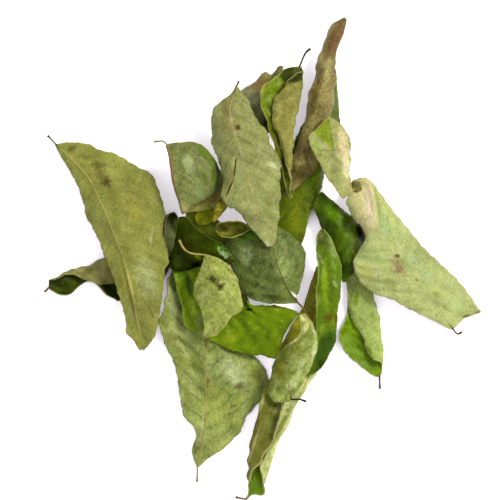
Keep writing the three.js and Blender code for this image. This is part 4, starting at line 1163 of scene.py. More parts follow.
def veins_effect() -> Effect:
    """Side veins that leave the midrib in turn, and the net between them.

    Returns:
        The group.
    """
    inputs = {"Along": 0.0, "Across": 0.0, "Place": HERE, "Spacing": 2.6, "Start": 0.0, "Net size": 0.9}
    group = Effect("leaf_veins", inputs, "Side", "Net", "Quilt")
    across, place, spacing = (group.come[name] for name in ("Across", "Place", "Spacing"))
    out = abs(across)
    other = group.maths("LESS_THAN", across, 0.0) * VEIN_STAGGER
    wander = group.noise(place, 0.28, 2.0) - 0.5
    leaned = out * VEIN_LEAN + out**1.5 * VEIN_BOW
    turn = (group.come["Along"] - leaned + wander * 2.4) / spacing + other
    centred = abs(group.maths("FRACT", turn + group.come["Start"]) - 0.5)
    away = (0.5 - centred) * spacing
    side = group.between(away, 0.02, group.between(out, 1.0, 9.0, 0.36, 0.2), 1.0, 0.0)
    group.give("Side", side * group.between(group.noise(place, 0.35), 0.4, 0.6, 0.25, 1.0))
    group.give("Quilt", centred * -2.0)
    bend = group.signal("ShaderNodeTexNoise", {"Vector": place, "Scale": 0.8, "Detail": 2.0}, 1)
    moved = group.vector("ADD", place, group.vector("MULTIPLY", bend, (0.9, 0.9, 0.9)))
    scale = 1.0 / group.come["Net size"]
    coarse, fine = (
        group.signal("ShaderNodeTexVoronoi", {"Vector": moved, "Scale": size}, feature="DISTANCE_TO_EDGE")
        for size in (scale, scale * 2.3)
    )
    lines = group.between(coarse, 0.0, 0.18, 1.0, 0.0)
    group.give("Net", group.maths("MAXIMUM", lines, group.between(fine, 0.0, 0.22, 0.5, 0.0)))
    return group


def mottling_effect() -> Effect:
    """Cloudy patches of a size, sharper as the contrast grows.

    Returns:
        The group.
    """
    group = Effect("leaf_mottling", {"Place": HERE, "Size": 3.0, "Level": 0.5, "Contrast": 0.5}, "Mask")
    level = group.come["Level"]
    cloud = group.noise(group.come["Place"], 1.0 / group.come["Size"], 5.0)
    half = (1.0 - group.come["Contrast"]) * 0.3
    group.give("Mask", group.between(cloud, level - half, level + half + 0.02))
    return group


def specks_effect() -> Effect:
    """Small ragged dots, on a share of the places where there could be one.

    Returns:
        The group.
    """
    group = Effect("leaf_specks", {"Place": HERE, "Size": 0.9, "Share": 0.3}, "Mask")
    place = group.come["Place"]
    cell = group.place("ShaderNodeTexVoronoi", {"Vector": place, "Scale": 1.0 / group.come["Size"]}).outputs
    away = Signal(group, cell["Distance"]) + group.noise(place, 2.6) * 0.35
    chance = group.signal("ShaderNodeSeparateColor", {"Color": Signal(group, cell["Color"])})
    dot = group.between(away, 0.3, 0.55, 1.0, 0.0)
    group.give("Mask", dot * group.maths("LESS_THAN", chance, group.come["Share"]))
    return group


def patch_effect() -> Effect:
    """A place on the heap, seen from above: a diamond, an oval or a box with a soft ragged edge.

    Returns:
        The group.
    """
    inputs = {"Place": HERE, "Centre": HERE, "Size": (1.0, 1.0, 1.0), "Turn": 0.0}
    group = Effect("leaf_patch", {**inputs, "Softness": 0.7, "Ragged": 0.3, "Power": 2.0}, "Mask")
    place, power = group.come["Place"], group.come["Power"]
    inputs = {"Vector": group.vector("SUBTRACT", place, group.come["Centre"]), "Angle": group.come["Turn"]}
    rotated = group.signal("ShaderNodeVectorRotate", inputs, rotation_type="Z_AXIS", invert=True)
    scaled = group.vector("ABSOLUTE", group.vector("DIVIDE", rotated, group.come["Size"]))
    sides = group.place("ShaderNodeSeparateXYZ", {0: scaled}).outputs
    reach = (Signal(group, sides[0]) ** power + Signal(group, sides[1]) ** power) ** (1.0 / power)
    ragged = reach + (group.noise(place, 0.9, 4.0) - 0.5) * (group.come["Ragged"] * 2.0)
    group.give("Mask", group.between(ragged, 1.0 - group.come["Softness"], 1.02, 1.0, 0.0))
    return group


def edge_effect() -> Effect:
    """The rim of a blade, of a ragged width.

    Returns:
        The group.
    """
    group = Effect("leaf_edge", {"To margin": 1.0, "Place": HERE, "Width": 0.35, "Ragged": 0.5}, "Mask")
    uneven = (group.noise(group.come["Place"], 0.6) - 0.5) * group.come["Ragged"]
    width = (uneven * 3.0 + 1.0) * group.come["Width"]
    group.give("Mask", group.between(group.come["To margin"], width * 0.4, width, 1.0, 0.0))
    return group


def tone_effect() -> Effect:
    """How light a blade is from place to place: clouds, blotches, grain and bands between its veins.

    Returns:
        The group.
    """
    group = Effect("leaf_tone", {"Place": HERE, "Quilt": 0.0, "Uneven": 0.3}, "Tone")
    total = (group.come["Quilt"] + 0.5) * 0.3
    for scale, detail, share in ((0.16, 2.0, 2.2), (0.7, 3.0, 1.1), (1.8, 3.0, 2.4)):
        total = total + (group.noise(group.come["Place"], scale, detail) - 0.5) * share
    group.give("Tone", total * group.come["Uneven"] + 1.0)
    return group


class Effects:
    """The effects that the finishes share, each built once."""

    def __init__(self) -> None:
        """Builds them all."""
        self.veins = veins_effect()
        self.mottling = mottling_effect()
        self.specks = specks_effect()
        self.patch = patch_effect()
        self.edge = edge_effect()
        self.tone = tone_effect()


# ---- Finishes ----


def linear(colour: Colour, dimmed: float = 1.0) -> Linear:
    """A colour as it looks under the studio's lights, as the shader reads it.

    Args:
        colour: Red, green and blue from 0 to 255.
        dimmed: The share that each part is first scaled down to.

    Returns:
        The linear red, green and blue that the surface reflects, with an alpha of one.
    """
    parts = [round(part * dimmed) / 255 for part in colour]
    parts = [part / 12.92 if part <= 0.04045 else ((part + 0.055) / 1.055) ** 2.4 for part in parts]
    red, green, blue = (
        max(part * share - sheen, 0.0) for part, share, sheen in zip(parts, REFLECTED_SHARES, SHEEN_SHARES)
    )
    return red, green, blue, 1.0


def new_material(name: str) -> tuple[bpy.types.Material, Wiring]:
    """Starts a material.

    Args:
        name: Its name.

    Returns:
        The material with nothing in it, and the wiring of its nodes.
    """
    material = bpy.data.materials.new(name)
    material.use_nodes = True
    material.node_tree.nodes.clear()
    return material, Wiring(material.node_tree)


@dataclass(frozen=True)
class Patch:
    """A place on a leaflet that has a colour of its own, painted shade, a painted highlight or painted
    light.

    Attributes:
        x: The middle, in the layout's millimetres.
        y: The middle, likewise.
        length: Half its length in millimetres.
        width: Half its width in millimetres.
        colour: Its colour.
        strength: How much of that colour it has.
        turn: The degrees that its length is turned from the X axis.
        softness: How much of it fades out.
        ragged: How uneven its edge is.
        power: Its outline: 1 is a diamond, 2 an oval and 4 nearly a box.
    """

    x: float
    y: float
    length: float
    width: float
    colour: Colour
    strength: float = 0.7
    turn: float = 0.0
    softness: float = 0.75
    ragged: float = 0.3
    power: float = 2.0

    def over(self, wire: Wiring, effects: Effects, spot: Signal, colour: Signal) -> Signal:
        """Lays the patch over a colour.

        Args:
            wire: The material's nodes.
            effects: The shared effects.
            spot: Where a point is in the layout.
            colour: The colour under it.

        Returns:
            The colour with the patch.
        """
        inputs = {
            "Place": spot,
            "Centre": (self.x, self.y, 0.0),
            "Size": (self.length, self.width, 1.0),
            "Turn": math.radians(self.turn),
            "Softness": self.softness,
            "Ragged": self.ragged,
            "Power": self.power,
        }
        return wire.blend(effects.patch.on(wire, inputs) * self.strength, colour, linear(self.colour))


@dataclass(frozen=True)
class Skin:
    """One face of a blade.

    Attributes:
        colour: Its main colour.
        second: The colour that it is mottled with.
        vein: The colour of its veins.
        roughness: How rough it is.
        mottling: The size of its mottling in millimetres.
        contrast: How sharp the mottling is.
        side_veins: How strongly the side veins show.
        net: How strongly the net of veins shows.
    """

    colour: Colour
    second: Colour
    vein: Colour
    roughness: float
    mottling: float = 4.0
    contrast: float = 0.45
    side_veins: float = 0.4
    net: float = 0.22

    def paint(self, wire: Wiring, effects: Effects, place: Signal, side: Signal, net: Signal) -> Signal:
        """The colour of the face.

        Args:
            wire: The material's nodes.
            effects: The shared effects.
            place: Where a point is on the blade.
            side: How much of a side vein there is.
            net: How much of the net of veins there is.

        Returns:
            The colour.
        """
        inputs = {"Place": place, "Size": self.mottling, "Contrast": self.contrast}
        colour = wire.blend(effects.mottling.on(wire, inputs), linear(self.colour), linear(self.second))
        colour = wire.blend(net * self.net, colour, linear(self.vein))
        return wire.blend(side * self.side_veins, colour, linear(self.vein))


@dataclass(frozen=True)
class LeafFinish:
    """The finish of one leaflet.

    Attributes:
        under: Its underside, which is matte.
        upper: Its upper face, which is glossier.
        rib: The colour of the midrib.
        rib_strength: How strongly the midrib shows.
        stalk: The colour of the petiolule.
        rim: The colour of the margin.
        rim_width: How wide the rim is, in millimetres.
        rim_strength: How strongly it shows.
        tone: How uneven its lightness is.
        gloss: How much it reflects.
        speck: The colour of its specks.
        speck_share: The share of places that have a speck.
        vein_spacing: The distance between side veins in millimetres.
        patches: The places with a colour of their own, painted shade, painted highlights or painted light.
    """

    under: Skin
    upper: Skin
    rib: Colour = (172, 160, 92)
    rib_strength: float = 0.7
    stalk: Colour = (112, 90, 48)
    rim: Colour = (166, 160, 96)
    rim_width: float = 0.26
    rim_strength: float = 0.45
    tone: float = 0.42
    gloss: float = 0.16
    speck: Colour = (92, 92, 44)
    speck_share: float = 0.05
    vein_spacing: float = 2.8
    patches: tuple[Patch, ...] = ()

    def material(self, name: str, effects: Effects, offset: Array, start: float) -> bpy.types.Material:
        """Builds the material.

        Args:
            name: Its name.
            effects: The shared effects.
            offset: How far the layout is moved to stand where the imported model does, in millimetres.
            start: Where the veins and clouds of this leaflet start.

        Returns:
            The material.
        """
        material, wire = new_material(name)
        names = ("along", "across", "to_margin", "face", "rib", "stalk")
        along, across, to_margin, face, rib, stalk = (wire.held(key) for key in names)
        place = wire.signal("ShaderNodeCombineXYZ", {"X": along, "Y": across, "Z": start * SEED_SPREAD})
        spot = wire.signal("ShaderNodeTexCoord", {}, "Object")
        spot = wire.vector("MULTIPLY", spot, (1 / MILLIMETRE,) * 3)
        spot = wire.vector("SUBTRACT", spot, tuple(float(part) for part in offset))
        lines = {"Along": along, "Across": across, "Place": place}
        lines = {**lines, "Spacing": self.vein_spacing, "Start": start}
        side, net, quilt = (effects.veins.on(wire, lines, key) for key in ("Side", "Net", "Quilt"))
        side = side * wire.between(to_margin, 0.2, 2.2)
        under, upper = (skin.paint(wire, effects, place, side, net) for skin in (self.under, self.upper))
        colour = wire.blend(face, under, upper)
        for patch in self.patches:
            colour = patch.over(wire, effects, spot, colour)
        specks = effects.specks.on(wire, {"Place": place, "Share": self.speck_share})
        colour = wire.blend(specks * SPECK_STRENGTH, colour, linear(self.speck))
        tone = effects.tone.on(wire, {"Place": place, "Quilt": quilt, "Uneven": self.tone}, "Tone")
        colour = wire.blend(1.0, colour, tone, "MULTIPLY")
        rim = effects.edge.on(wire, {"To margin": to_margin, "Place": place, "Width": self.rim_width})
        colour = wire.blend(rim * self.rim_strength, colour, linear(self.rim))
        colour = wire.blend(rib * self.rib_strength, colour, linear(self.rib))
        woody = effects.mottling.on(wire, {"Place": place, "Size": 1.2, "Contrast": 0.2})
        bark = wire.blend(woody * BARK_STRENGTH, linear(self.stalk), linear(self.stalk, BARK_SHADE))
        colour = wire.blend(stalk, colour, bark)
        # Painted shade: the colour darkens in creases and where another surface lies near
        painted_crease_shade = wire.between(wire.openness(PAINTED_SHADE_REACH), 0.0, 0.6, PAINTED_CREASE_SHADE, 1.0)
        colour = wire.blend(1.0, colour, painted_crease_shade, "MULTIPLY")
        grain = wire.noise(place, GRAIN_SCALE, 4.0)
        level = wire.between(face, 0.0, 1.0, self.under.roughness, self.upper.roughness)
        ridges = (side + net * NET_RELIEF) * wire.between(face, 0.0, 1.0, 1.0, UPPER_FACE_RELIEF)
        height = ridges * (1.0 - wire.maths("MAXIMUM", rib, stalk)) + grain * GRAIN_RELIEF
        bump = {"Strength": BUMP_STRENGTH, "Distance": RELIEF_DEPTH, "Height": height}
        inputs = {
            "Base Color": colour,
            "Roughness": level + (grain - 0.5) * GRAIN_IN_ROUGHNESS,
            "Normal": wire.signal("ShaderNodeBump", bump),
            "Specular IOR Level": self.gloss,
            "Specular Tint": (1.0, 1.0, 0.6, 1.0),
        }
        wire.finish(inputs)
        return material


@dataclass(frozen=True)
class BarkFinish:
    """The finish of the rachis: dull brown bark with long streaks.

    Attributes:
        colour: Its main colour.
        streak: The colour of its streaks.
        speck: The colour of its specks.
        roughness: How rough it is.
    """

    colour: Colour = (118, 100, 60)
    streak: Colour = (78, 62, 34)
    speck: Colour = (150, 134, 92)
    roughness: float = 0.82

    def material(self, name: str, effects: Effects) -> bpy.types.Material:
        """Builds the material.

        Args:
            name: Its name.
            effects: The shared effects.

        Returns:
            The material.
        """
        material, wire = new_material(name)
        inputs = {"X": wire.held("along") * 0.16, "Y": wire.held("across")}
        place = wire.signal("ShaderNodeCombineXYZ", inputs)
        streaks = effects.mottling.on(wire, {"Place": place, "Size": 0.5, "Contrast": 0.45})
        specks = effects.specks.on(wire, {"Place": place, "Size": 0.5, "Share": 0.2})
        colour = wire.blend(streaks, linear(self.colour), linear(self.streak))
        colour = wire.blend(specks * 0.5, colour, linear(self.speck))
        bump = {"Strength": 0.5, "Distance": RELIEF_DEPTH, "Height": streaks}
        normal = wire.signal("ShaderNodeBump", bump)
        wire.finish({"Base Color": colour, "Normal": normal, "Roughness": self.roughness})
        return material


# ---- Pieces ----


class Face(Enum):
    """The face of a blade that lies upwards where the blade is flat."""

    UNDER = 0.0
    UPPER = 1.0


class Slot(Enum):
    """The material slots of the record."""

    OLIVE = "leaf_olive"
    GREY_GREEN = "leaf_grey_green"
    PALE_GREEN = "leaf_pale_green"
    BRIGHT_GREEN = "leaf_bright_green"
    DARK_GREEN = "leaf_dark_green"
    YELLOW_GREEN = "leaf_yellow_green"
    BROWN = "leaf_brown"
    STALK = "stalk_brown"


def hand_over(piece: bpy.types.Object, material: bpy.types.Material, node: str) -> None:
    """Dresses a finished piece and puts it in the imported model.

    Args:
        piece: The piece, in place.
        material: Its material.
        node: The node that it stands for.
    """
    piece.data.materials.append(material)
    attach(piece, BODY)
    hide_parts(node)
    log.info("%s stands for %s, %d faces", piece.name, node, len(piece.data.polygons))


@dataclass(frozen=True)
class Surface:
    """The middle surface of a blade, with what holds at each of its points.

    Attributes:
        points: The points, by row and column, in millimetres.
        along: The distance from the base of the rib.
        across: The distance from the rib, below nothing on the left half.
        side_width: The width of the half.
        to_margin: The distance to the margin.
    """

    points: Array
    along: Array
    across: Array
    side_width: Array
    to_margin: Array


@dataclass(frozen=True)
class Strand:
    """The line that the midrib follows.

    Attributes:
        points: Its points, from base to apex.
        normals: The directions square to the blade at those points.
        along: Their distances from the base.
    """

    points: Array
    normals: Array
    along: Array


@dataclass
class Leaflet:
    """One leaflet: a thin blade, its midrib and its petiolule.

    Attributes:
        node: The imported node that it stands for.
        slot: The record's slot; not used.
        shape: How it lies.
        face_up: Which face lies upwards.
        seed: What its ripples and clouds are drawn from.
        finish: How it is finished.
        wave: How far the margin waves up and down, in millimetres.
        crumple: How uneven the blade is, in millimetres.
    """

    node: str
    slot: Slot
    shape: Shape
    face_up: Face
    seed: int
    finish: LeafFinish
    wave: float = 0.28
    crumple: float = 0.2

    def build(self, heap: Heap, offset: Array, effects: Effects) -> bpy.types.Object:
        """Lays the leaflet on the heap, makes its mesh and dresses it.

        Args:
            heap: The heap so far.
            offset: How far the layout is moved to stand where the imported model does.
            effects: The shared effects.

        Returns:
            The piece.
        """
        lifts = heap.settle(self.shape.packed_rows())
        parts = MeshParts()
        self._add_rib(parts, lifts, self._add_blade(parts, lifts))
        piece = parts.mesh(self.node.replace("leaf_", "") + "_leaflet", offset)
        start = self._vein_start() + self.seed
        material = self.finish.material(self.node + "_finish", effects, offset, start)
        hand_over(piece, material, self.node)
        return piece

    def _vein_start(self) -> float:
        """The share of the spacing at which the first side vein leaves the rib."""
        return (self.seed * 0.37) % 1.0

    def _places(self, half: Half) -> Array:
        """Where the fine columns of a half are.

        Args:
            half: The half of the blade.

        Returns:
            Their places in packed columns from the rib, without the rib itself.
        """
        shares = np.linspace(0.0, 1.0, 40)
        reach = np.linalg.norm(self.shape.outward(half, shares), axis=1)
        out, up = half.section(reach, shares, np.linspace(0.0, half.columns, 60))
        width = np.hypot(np.diff(out, axis=1), np.diff(up, axis=1)).sum(axis=1).max()
        count = max(FEWEST_COLUMNS, math.ceil(width / GRID_STEP))
        steps = np.arange(1, count + 1) / count
        return half.columns * (steps if half.fold else steps**CROWDING_TO_MARGIN)

    def _add_blade(self, parts: MeshParts, lifts: Array) -> Strand:
        """Makes the shell of the blade.

        Args:
            parts: The mesh so far.
            lifts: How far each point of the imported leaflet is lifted.

        Returns:
            The line of the midrib.
        """
        shape = self.shape
        length = SmoothLine(shape.rib).length
        rows = max(FEWEST_ROWS, math.ceil(length / GRID_STEP))
        shares = np.linspace(0.0, 1.0, rows + 1)
        left, right = (self._places(half) for half in (shape.left, shape.right))
        points = shape.blade(shares, left, right)
        column = np.concatenate([-left[::-1], [0.0], right]) + shape.left.columns
        down = smooth_weights(shares * BLADE_STATIONS, BLADE_STATIONS + 1)
        points[..., 2] += down @ lifts[shape.stalk_steps() :] @ smooth_weights(column, lifts.shape[1]).T
        middle = len(left)
        steps = np.linalg.norm(np.diff(points, axis=1), axis=2)
        run = np.concatenate([np.zeros((rows + 1, 1)), np.cumsum(steps, axis=1)], axis=1)
        across = run - run[:, middle : middle + 1]
        side_width = np.where(across < 0, -across[:, :1], across[:, -1:])
        to_margin = np.maximum(side_width - np.abs(across), 0.0)
        along = np.repeat((shares * length)[:, None], points.shape[1], axis=1)
        points = self._rippled(Surface(points, along, across, side_width, to_margin))
        normals = surface_normals(points)
        taper = np.clip(to_margin / MARGIN_TAPER, 0.0, 1.0)
        end = np.clip(np.minimum(along, length - along) / MARGIN_TAPER, 0.0, 1.0)
        share = np.sqrt(np.minimum(taper, end))
        half = (MARGIN_THICKNESS + (BLADE_THICKNESS - MARGIN_THICKNESS) * share) / 2
        top, low = (points + normals * side * half[..., None] for side in (1.0, -1.0))
        sunk = np.maximum(TABLE_GAP - np.minimum(top[..., 2], low[..., 2]), 0.0)
        top[..., 2] += sunk
        low[..., 2] += sunk
        up = np.full(along.size, self.face_up.value)
        blank = np.zeros(along.size * 2)
        parts.add(
            np.concatenate([top.reshape(-1, 3), low.reshape(-1, 3)]),
            shell_faces(*along.shape),
            along=np.tile(along.ravel(), 2),
            across=np.tile(across.ravel(), 2),
            to_margin=np.tile(to_margin.ravel(), 2),
            face=np.concatenate([up, 1.0 - up]),
            rib=blank,
            stalk=blank,
        )
        return Strand(points[:, middle], normals[:, middle], along[:, middle])

    def _rippled(self, blade: Surface) -> Array:
        """Waves the margin, crumples the blade and bulges it between the side veins.

        Args:
            blade: The smooth surface.

        Returns:
            Its points, moved.
        """
        draw = np.random.default_rng(self.seed)
        along, across, width = blade.along, blade.across, blade.side_width
        out = np.abs(across)
        room = np.clip(width / ROOMY_HALF, 0.0, 1.0)
        phases = draw.uniform(0.0, 2 * math.pi, 12)
        wave = rolling(WAVES, along * (2 * math.pi / WAVE_LENGTH), across, phases[:4])
        rise = self.wave * wave * (out / np.maximum(width, 0.5)) ** WAVE_POWER * room
        for phase in phases[4 : 4 + CRUMPLES]:
            angle = draw.uniform(0.0, math.pi)
            size = draw.uniform(*CRUMPLE_LENGTHS)
            spot = along * math.cos(angle) + across * math.sin(angle)
            rise = rise + self.crumple * 0.5 * np.sin(2 * math.pi * spot / size + phase)
        lean = VEIN_LEAN * out + VEIN_BOW * out**1.5
        part = (along - lean) / self.finish.vein_spacing + np.where(across < 0, VEIN_STAGGER, 0.0)
        bulge = -np.cos(2 * math.pi * (part + self._vein_start()))
        bulge = bulge * np.clip(out / QUILT_FADE, 0, 1) * np.clip(blade.to_margin / QUILT_FADE, 0, 1)
        raised = 1.0 if self.face_up is Face.UPPER else -1.0
        rise = rise + QUILTING * raised * bulge * room
        scallop = rolling(SCALLOPS, along, across, draw.uniform(0.0, 2 * math.pi, 4))
        outward = unit(blade.points - blade.points[:, [np.argmin(out[0])]])
        normals = surface_normals(blade.points)
        rim = np.clip(1.0 - blade.to_margin / SCALLOP_FADE, 0.0, 1.0) * room
        return blade.points + normals * rise[..., None] + outward * (scallop * rim)[..., None]

    def _add_rib(self, parts: MeshParts, lifts: Array, rib: Strand) -> None:
        """Makes the midrib and the petiolule as one round tapered strand.

        Args:
            parts: The mesh so far.
            lifts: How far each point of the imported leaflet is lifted.
            rib: The line of the midrib.
        """
        shape = self.shape
        side = -1.0 if self.face_up is Face.UPPER else 1.0
        along = rib.along
        share = along / along[-1]
        sink = RIB_OFFSET * np.clip(1.0 - share, 0.25, 1.0)
        centres = rib.points + rib.normals * (side * sink)[:, None]
        radii = RIB_APEX_RADIUS + (RIB_RADIUS - RIB_APEX_RADIUS) * (1.0 - share) ** 0.8
        woody = np.zeros(len(share))
        if shape.stalk:
            line = shape.stalk_line()
            steps = shape.stalk_steps()
            count = max(4, math.ceil(line.length / STALK_STEP))
            places = np.arange(count) / count
            strand = line.at(places)
            rise = lifts[: steps + 1, shape.left.columns]
            strand[:, 2] += smooth_weights(places * steps, steps + 1) @ rise
            strand += (centres[0] - rib.points[0]) * places[:, None]
            thick = STALK_END_RADIUS + (STALK_RADIUS - STALK_END_RADIUS) * np.clip(places * 2.5, 0.0, 1.0)
            thick = thick + (RIB_RADIUS - STALK_RADIUS) * np.clip(places * 2 - 1, 0, 1)
            centres = np.concatenate([strand, centres])
            radii = np.concatenate([thick, radii])
            woody = np.concatenate([np.ones(count), np.clip(1.0 - along / WOODY_FADE, 0.0, 1.0)])
            along = np.concatenate([(places - 1.0) * line.length, along])
        centres[:, 2] = np.maximum(centres[:, 2], radii * 0.8)
        points, faces = tube(centres, radii, RIB_SIDES)
        points[:, 2] = np.maximum(points[:, 2], 0.0)
        ring = np.concatenate([np.repeat(np.arange(len(along)), RIB_SIDES), [0, len(along) - 1]])
        blank = np.zeros(len(ring))
        inland = blank + FAR_FROM_MARGIN
        values = {"along": along[ring], "across": blank, "to_margin": inland, "face": blank}
        parts.add(points, faces, **values, rib=blank + 1.0, stalk=woody[ring])


@dataclass
class Rachis:
    """The stem that the leaflets grew on: slim, streaked and swollen where each leaflet was joined.

    Attributes:
        node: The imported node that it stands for.
        route: The line that it follows over the table, in millimetres.
        width: Its width at the base.
        height: Its height at the base.
        tip_scale: The share of that size which it has at its tip.
        stations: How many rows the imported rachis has.
        joints: The shares of its length at which leaflets were joined.
        finish: How it is finished.
    """

    node: str = "rachis"
    route: Points = (
        (-0.2, -48), (0.7, -40), (4.4, -30.1), (8.6, -20.2), (13.6, -9.5), (15.2, 0.7), (11.6, 12.8),
        (11.6, 23.8), (13.2, 36),
    )
    width: float = 1.9
    height: float = 1.5
    tip_scale: float = 0.6
    stations: int = 12
    joints: Values = (0.02, 0.13, 0.22, 0.33, 0.41, 0.5, 0.58, 0.67, 0.76, 0.86, 0.97)
    finish: BarkFinish = field(default_factory=BarkFinish)

    def _scale(self, shares: Union[float, Array]) -> Union[float, Array]:
        """How thick it is at shares of its length, as a share of its size at the base."""
        return 1.0 + (self.tip_scale - 1.0) * shares

    def offset(self) -> Array:
        """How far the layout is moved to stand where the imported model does.

        Returns:
            The move in millimetres.
        """
        line = SmoothLine(self.route)
        shares = np.arange(self.stations + 1) / self.stations
        heading = line.heading(shares)
        to_side = np.stack([heading[:, 1], -heading[:, 0]], axis=1)
        beside = to_side * (self.width / 2 * self._scale(shares))[:, None]
        centres = line.at(shares)
        lowest = np.minimum(centres - beside, centres + beside).min(axis=0)
        low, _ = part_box(self.node)
        shift = np.array([low.x, low.y]) / MILLIMETRE - lowest
        return np.array([shift[0], shift[1], 0.0])

    def pile_on(self, heap: Heap) -> None:
        """Puts the rachis under the heap.

        Args:
            heap: The heap, still empty.
        """
        line = SmoothLine(self.route)
        for station in range(self.stations + 1):
            share = station / self.stations
            scale = self._scale(share)
            ahead = line.heading(np.array([share]))[0]
            back = np.maximum(share - np.arange(8) / (8 * self.stations), 0.0)
            spots = line.at(back)
            for side in (-0.5, 0.0, 0.5):
                beside = np.array([ahead[1], -ahead[0]]) * side * self.width * scale
                heap.pile(spots + beside, np.full(8, self.height * scale))

    def build(self, offset: Array, effects: Effects) -> bpy.types.Object:
        """Makes the mesh and dresses it.

        Args:
            offset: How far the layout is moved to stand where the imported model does.
            effects: The shared effects.

        Returns:
            The piece.
        """
        line = SmoothLine(self.route)
        shares = np.linspace(0.0, 1.0, RACHIS_ROWS)
        scale = self._scale(shares)
        swell = np.zeros(RACHIS_ROWS)
        for joint in self.joints:
            swell += SWELLING * np.exp(-(((shares - joint) * line.length / SWELLING_LENGTH) ** 2))
        radii = self.width / 2 * scale * (RACHIS_SHARE + swell)
        centres = np.column_stack([line.at(shares), self.height / 2 * scale])
        points, faces = tube(centres, radii, RACHIS_SIDES, self.height / self.width)
        ring = np.concatenate([np.repeat(np.arange(RACHIS_ROWS), RACHIS_SIDES), [0, RACHIS_ROWS - 1]])
        round_it = np.arange(RACHIS_SIDES) * 2 * math.pi / RACHIS_SIDES
        around = np.concatenate([np.tile(round_it, RACHIS_ROWS), [0.0, 0.0]])
        ridge = RIDGE_HEIGHT * np.cos(around * RIDGES) * scale[ring]
        points = points + unit(points - centres[ring]) * ridge[:, None]
        points[:, 2] = np.maximum(points[:, 2], 0.0)
        parts = MeshParts()
        beside = 0.6 * np.sin(around) + 0.5 * np.cos(around)
        parts.add(points, faces, along=(shares * line.length)[ring], across=beside)
        piece = parts.mesh("rachis_stem", offset)
        hand_over(piece, self.finish.material("rachis_bark", effects), self.node)
        return piece


# ---- The studio ----


@dataclass(frozen=True)
class Lamp:
    """A soft square light that points at the heap.

    Attributes:
        name: Its name.
        place: Where it hangs, in metres.
        size: The length of its side in metres.
        watts: How strong it is.
        colour: Its colour.
    """

    name: str
    place: Vector
    size: float
    watts: float
    colour: Vector

    def hang(self) -> None:
        """Makes the light."""
        light = bpy.data.lights.new(self.name, "AREA")
        light.shape = "SQUARE"
        light.size = self.size
        light.energy = self.watts
        light.color = self.colour
        hung = place_object(self.name, light)
        hung.location = self.place
        hung.rotation_euler = (-hung.location).to_track_quat("-Z", "Y").to_euler()


@dataclass(frozen=True)
class Studio:
    """The pale floor, the soft lights and the camera straight above.

    Attributes:
        centre_x: What the camera is over, in millimetres.
        centre_y: What the camera is over, likewise.
        view_width: How many millimetres of the floor the view is wide.
        camera_height: How high the camera is, in metres.
        sensor: The width of its sensor in millimetres.
        floor_side: The length of the floor's side in metres.
        paper: The colour of the floor.
        paper_shade: The painted shade colour that the floor darkens to where leaflets are near.
        glow: The colour that the floor itself glows with, which fades near the leaflets as painted shade.
        sky_colour: The colour of the light from all round.
        sky: The brightness of that light.
        sky_in_gloss: The share of it that shows in gloss.
        floor_glow: How brightly the floor itself glows.
        shade_reach: How near a leaflet has to be for the painted shade to darken the floor and fade its
            glow, in metres.
        lamps: The lights.
    """

    centre_x: float = -2.62
    centre_y: float = 1.87
    view_width: float = 110.0
    camera_height: float = 1.5
    sensor: float = 36.0
    floor_side: float = 6.0
    paper: Linear = (0.93, 0.925, 0.935, 1.0)
    paper_shade: Linear = (0.3, 0.27, 0.25, 1.0)
    glow: Linear = (0.93, 0.86, 0.97, 1.0)
    sky_colour: Linear = (0.985, 0.965, 1.0, 1.0)
    sky: float = 0.9
    sky_in_gloss: float = 0.08
    floor_glow: float = 0.4
    shade_reach: float = 0.006
    lamps: tuple[Lamp, ...] = (
        Lamp("key_light", (0.48, 0.32, 0.62), 0.3, 9.6, (1.0, 0.985, 0.955)),
        Lamp("fill_light", (-0.5, -0.3, 0.6), 0.6, 1.5, (0.97, 0.96, 1.0)),
    )

    def set_up(self) -> None:
        """Makes the floor, the lights and the camera."""
        self._lay_floor()
        for lamp in self.lamps:
            lamp.hang()
        world = bpy.data.worlds.new("studio_light")
        world.use_nodes = True
        background = world.node_tree.nodes["Background"]
        background.inputs["Color"].default_value = self.sky_colour
        wire = Wiring(world.node_tree)
        glossy = wire.signal("ShaderNodeLightPath", {}, "Is Glossy Ray")
        dimmed = wire.between(glossy, 0.0, 1.0, self.sky, self.sky * self.sky_in_gloss)
        wire.feed(background.inputs["Strength"], dimmed)
        world.cycles.sampling_method = "NONE"
        scene = bpy.context.scene
        scene.world = world
        scene.view_settings.view_transform = "Standard"
        lens = bpy.data.cameras.new("studio_camera")
        lens.sensor_width = self.sensor
        lens.lens = self.sensor * self.camera_height / (self.view_width * MILLIMETRE)
        lens.clip_end = 20.0
        scene.camera = place_object("studio_camera", lens)
        over = (self.centre_x * MILLIMETRE, self.centre_y * MILLIMETRE)
        scene.camera.location = (*over, self.camera_height)

    def _lay_floor(self) -> None:
        """Makes the floor."""
        half = self.floor_side / 2
        mesh = bpy.data.meshes.new("studio_floor")
        corners = [(x * half, y * half, FLOOR_LEVEL) for x, y in ((-1, -1), (1, -1), (1, 1), (-1, 1))]
        mesh.from_pydata(corners, [], [(0, 1, 2, 3)])
        material, wire = new_material("floor_paper")
        # Painted shade: near the leaflets the floor's colour darkens towards paper_shade and its glow fades
        clear = wire.between(wire.openness(self.shade_reach), 0.1, 0.6)
        wire.finish({
            "Base Color": wire.blend(clear, self.paper_shade, self.paper),
            "Roughness": 0.9,
            "Specular IOR Level": 0.1,
            "Emission Color": wire.blend(clear, (0.0, 0.0, 0.0, 1.0), self.glow),
            "Emission Strength": self.floor_glow,
        })
        mesh.materials.append(material)
        floor = place_object("studio_floor", mesh)


# ---- The sprig ----

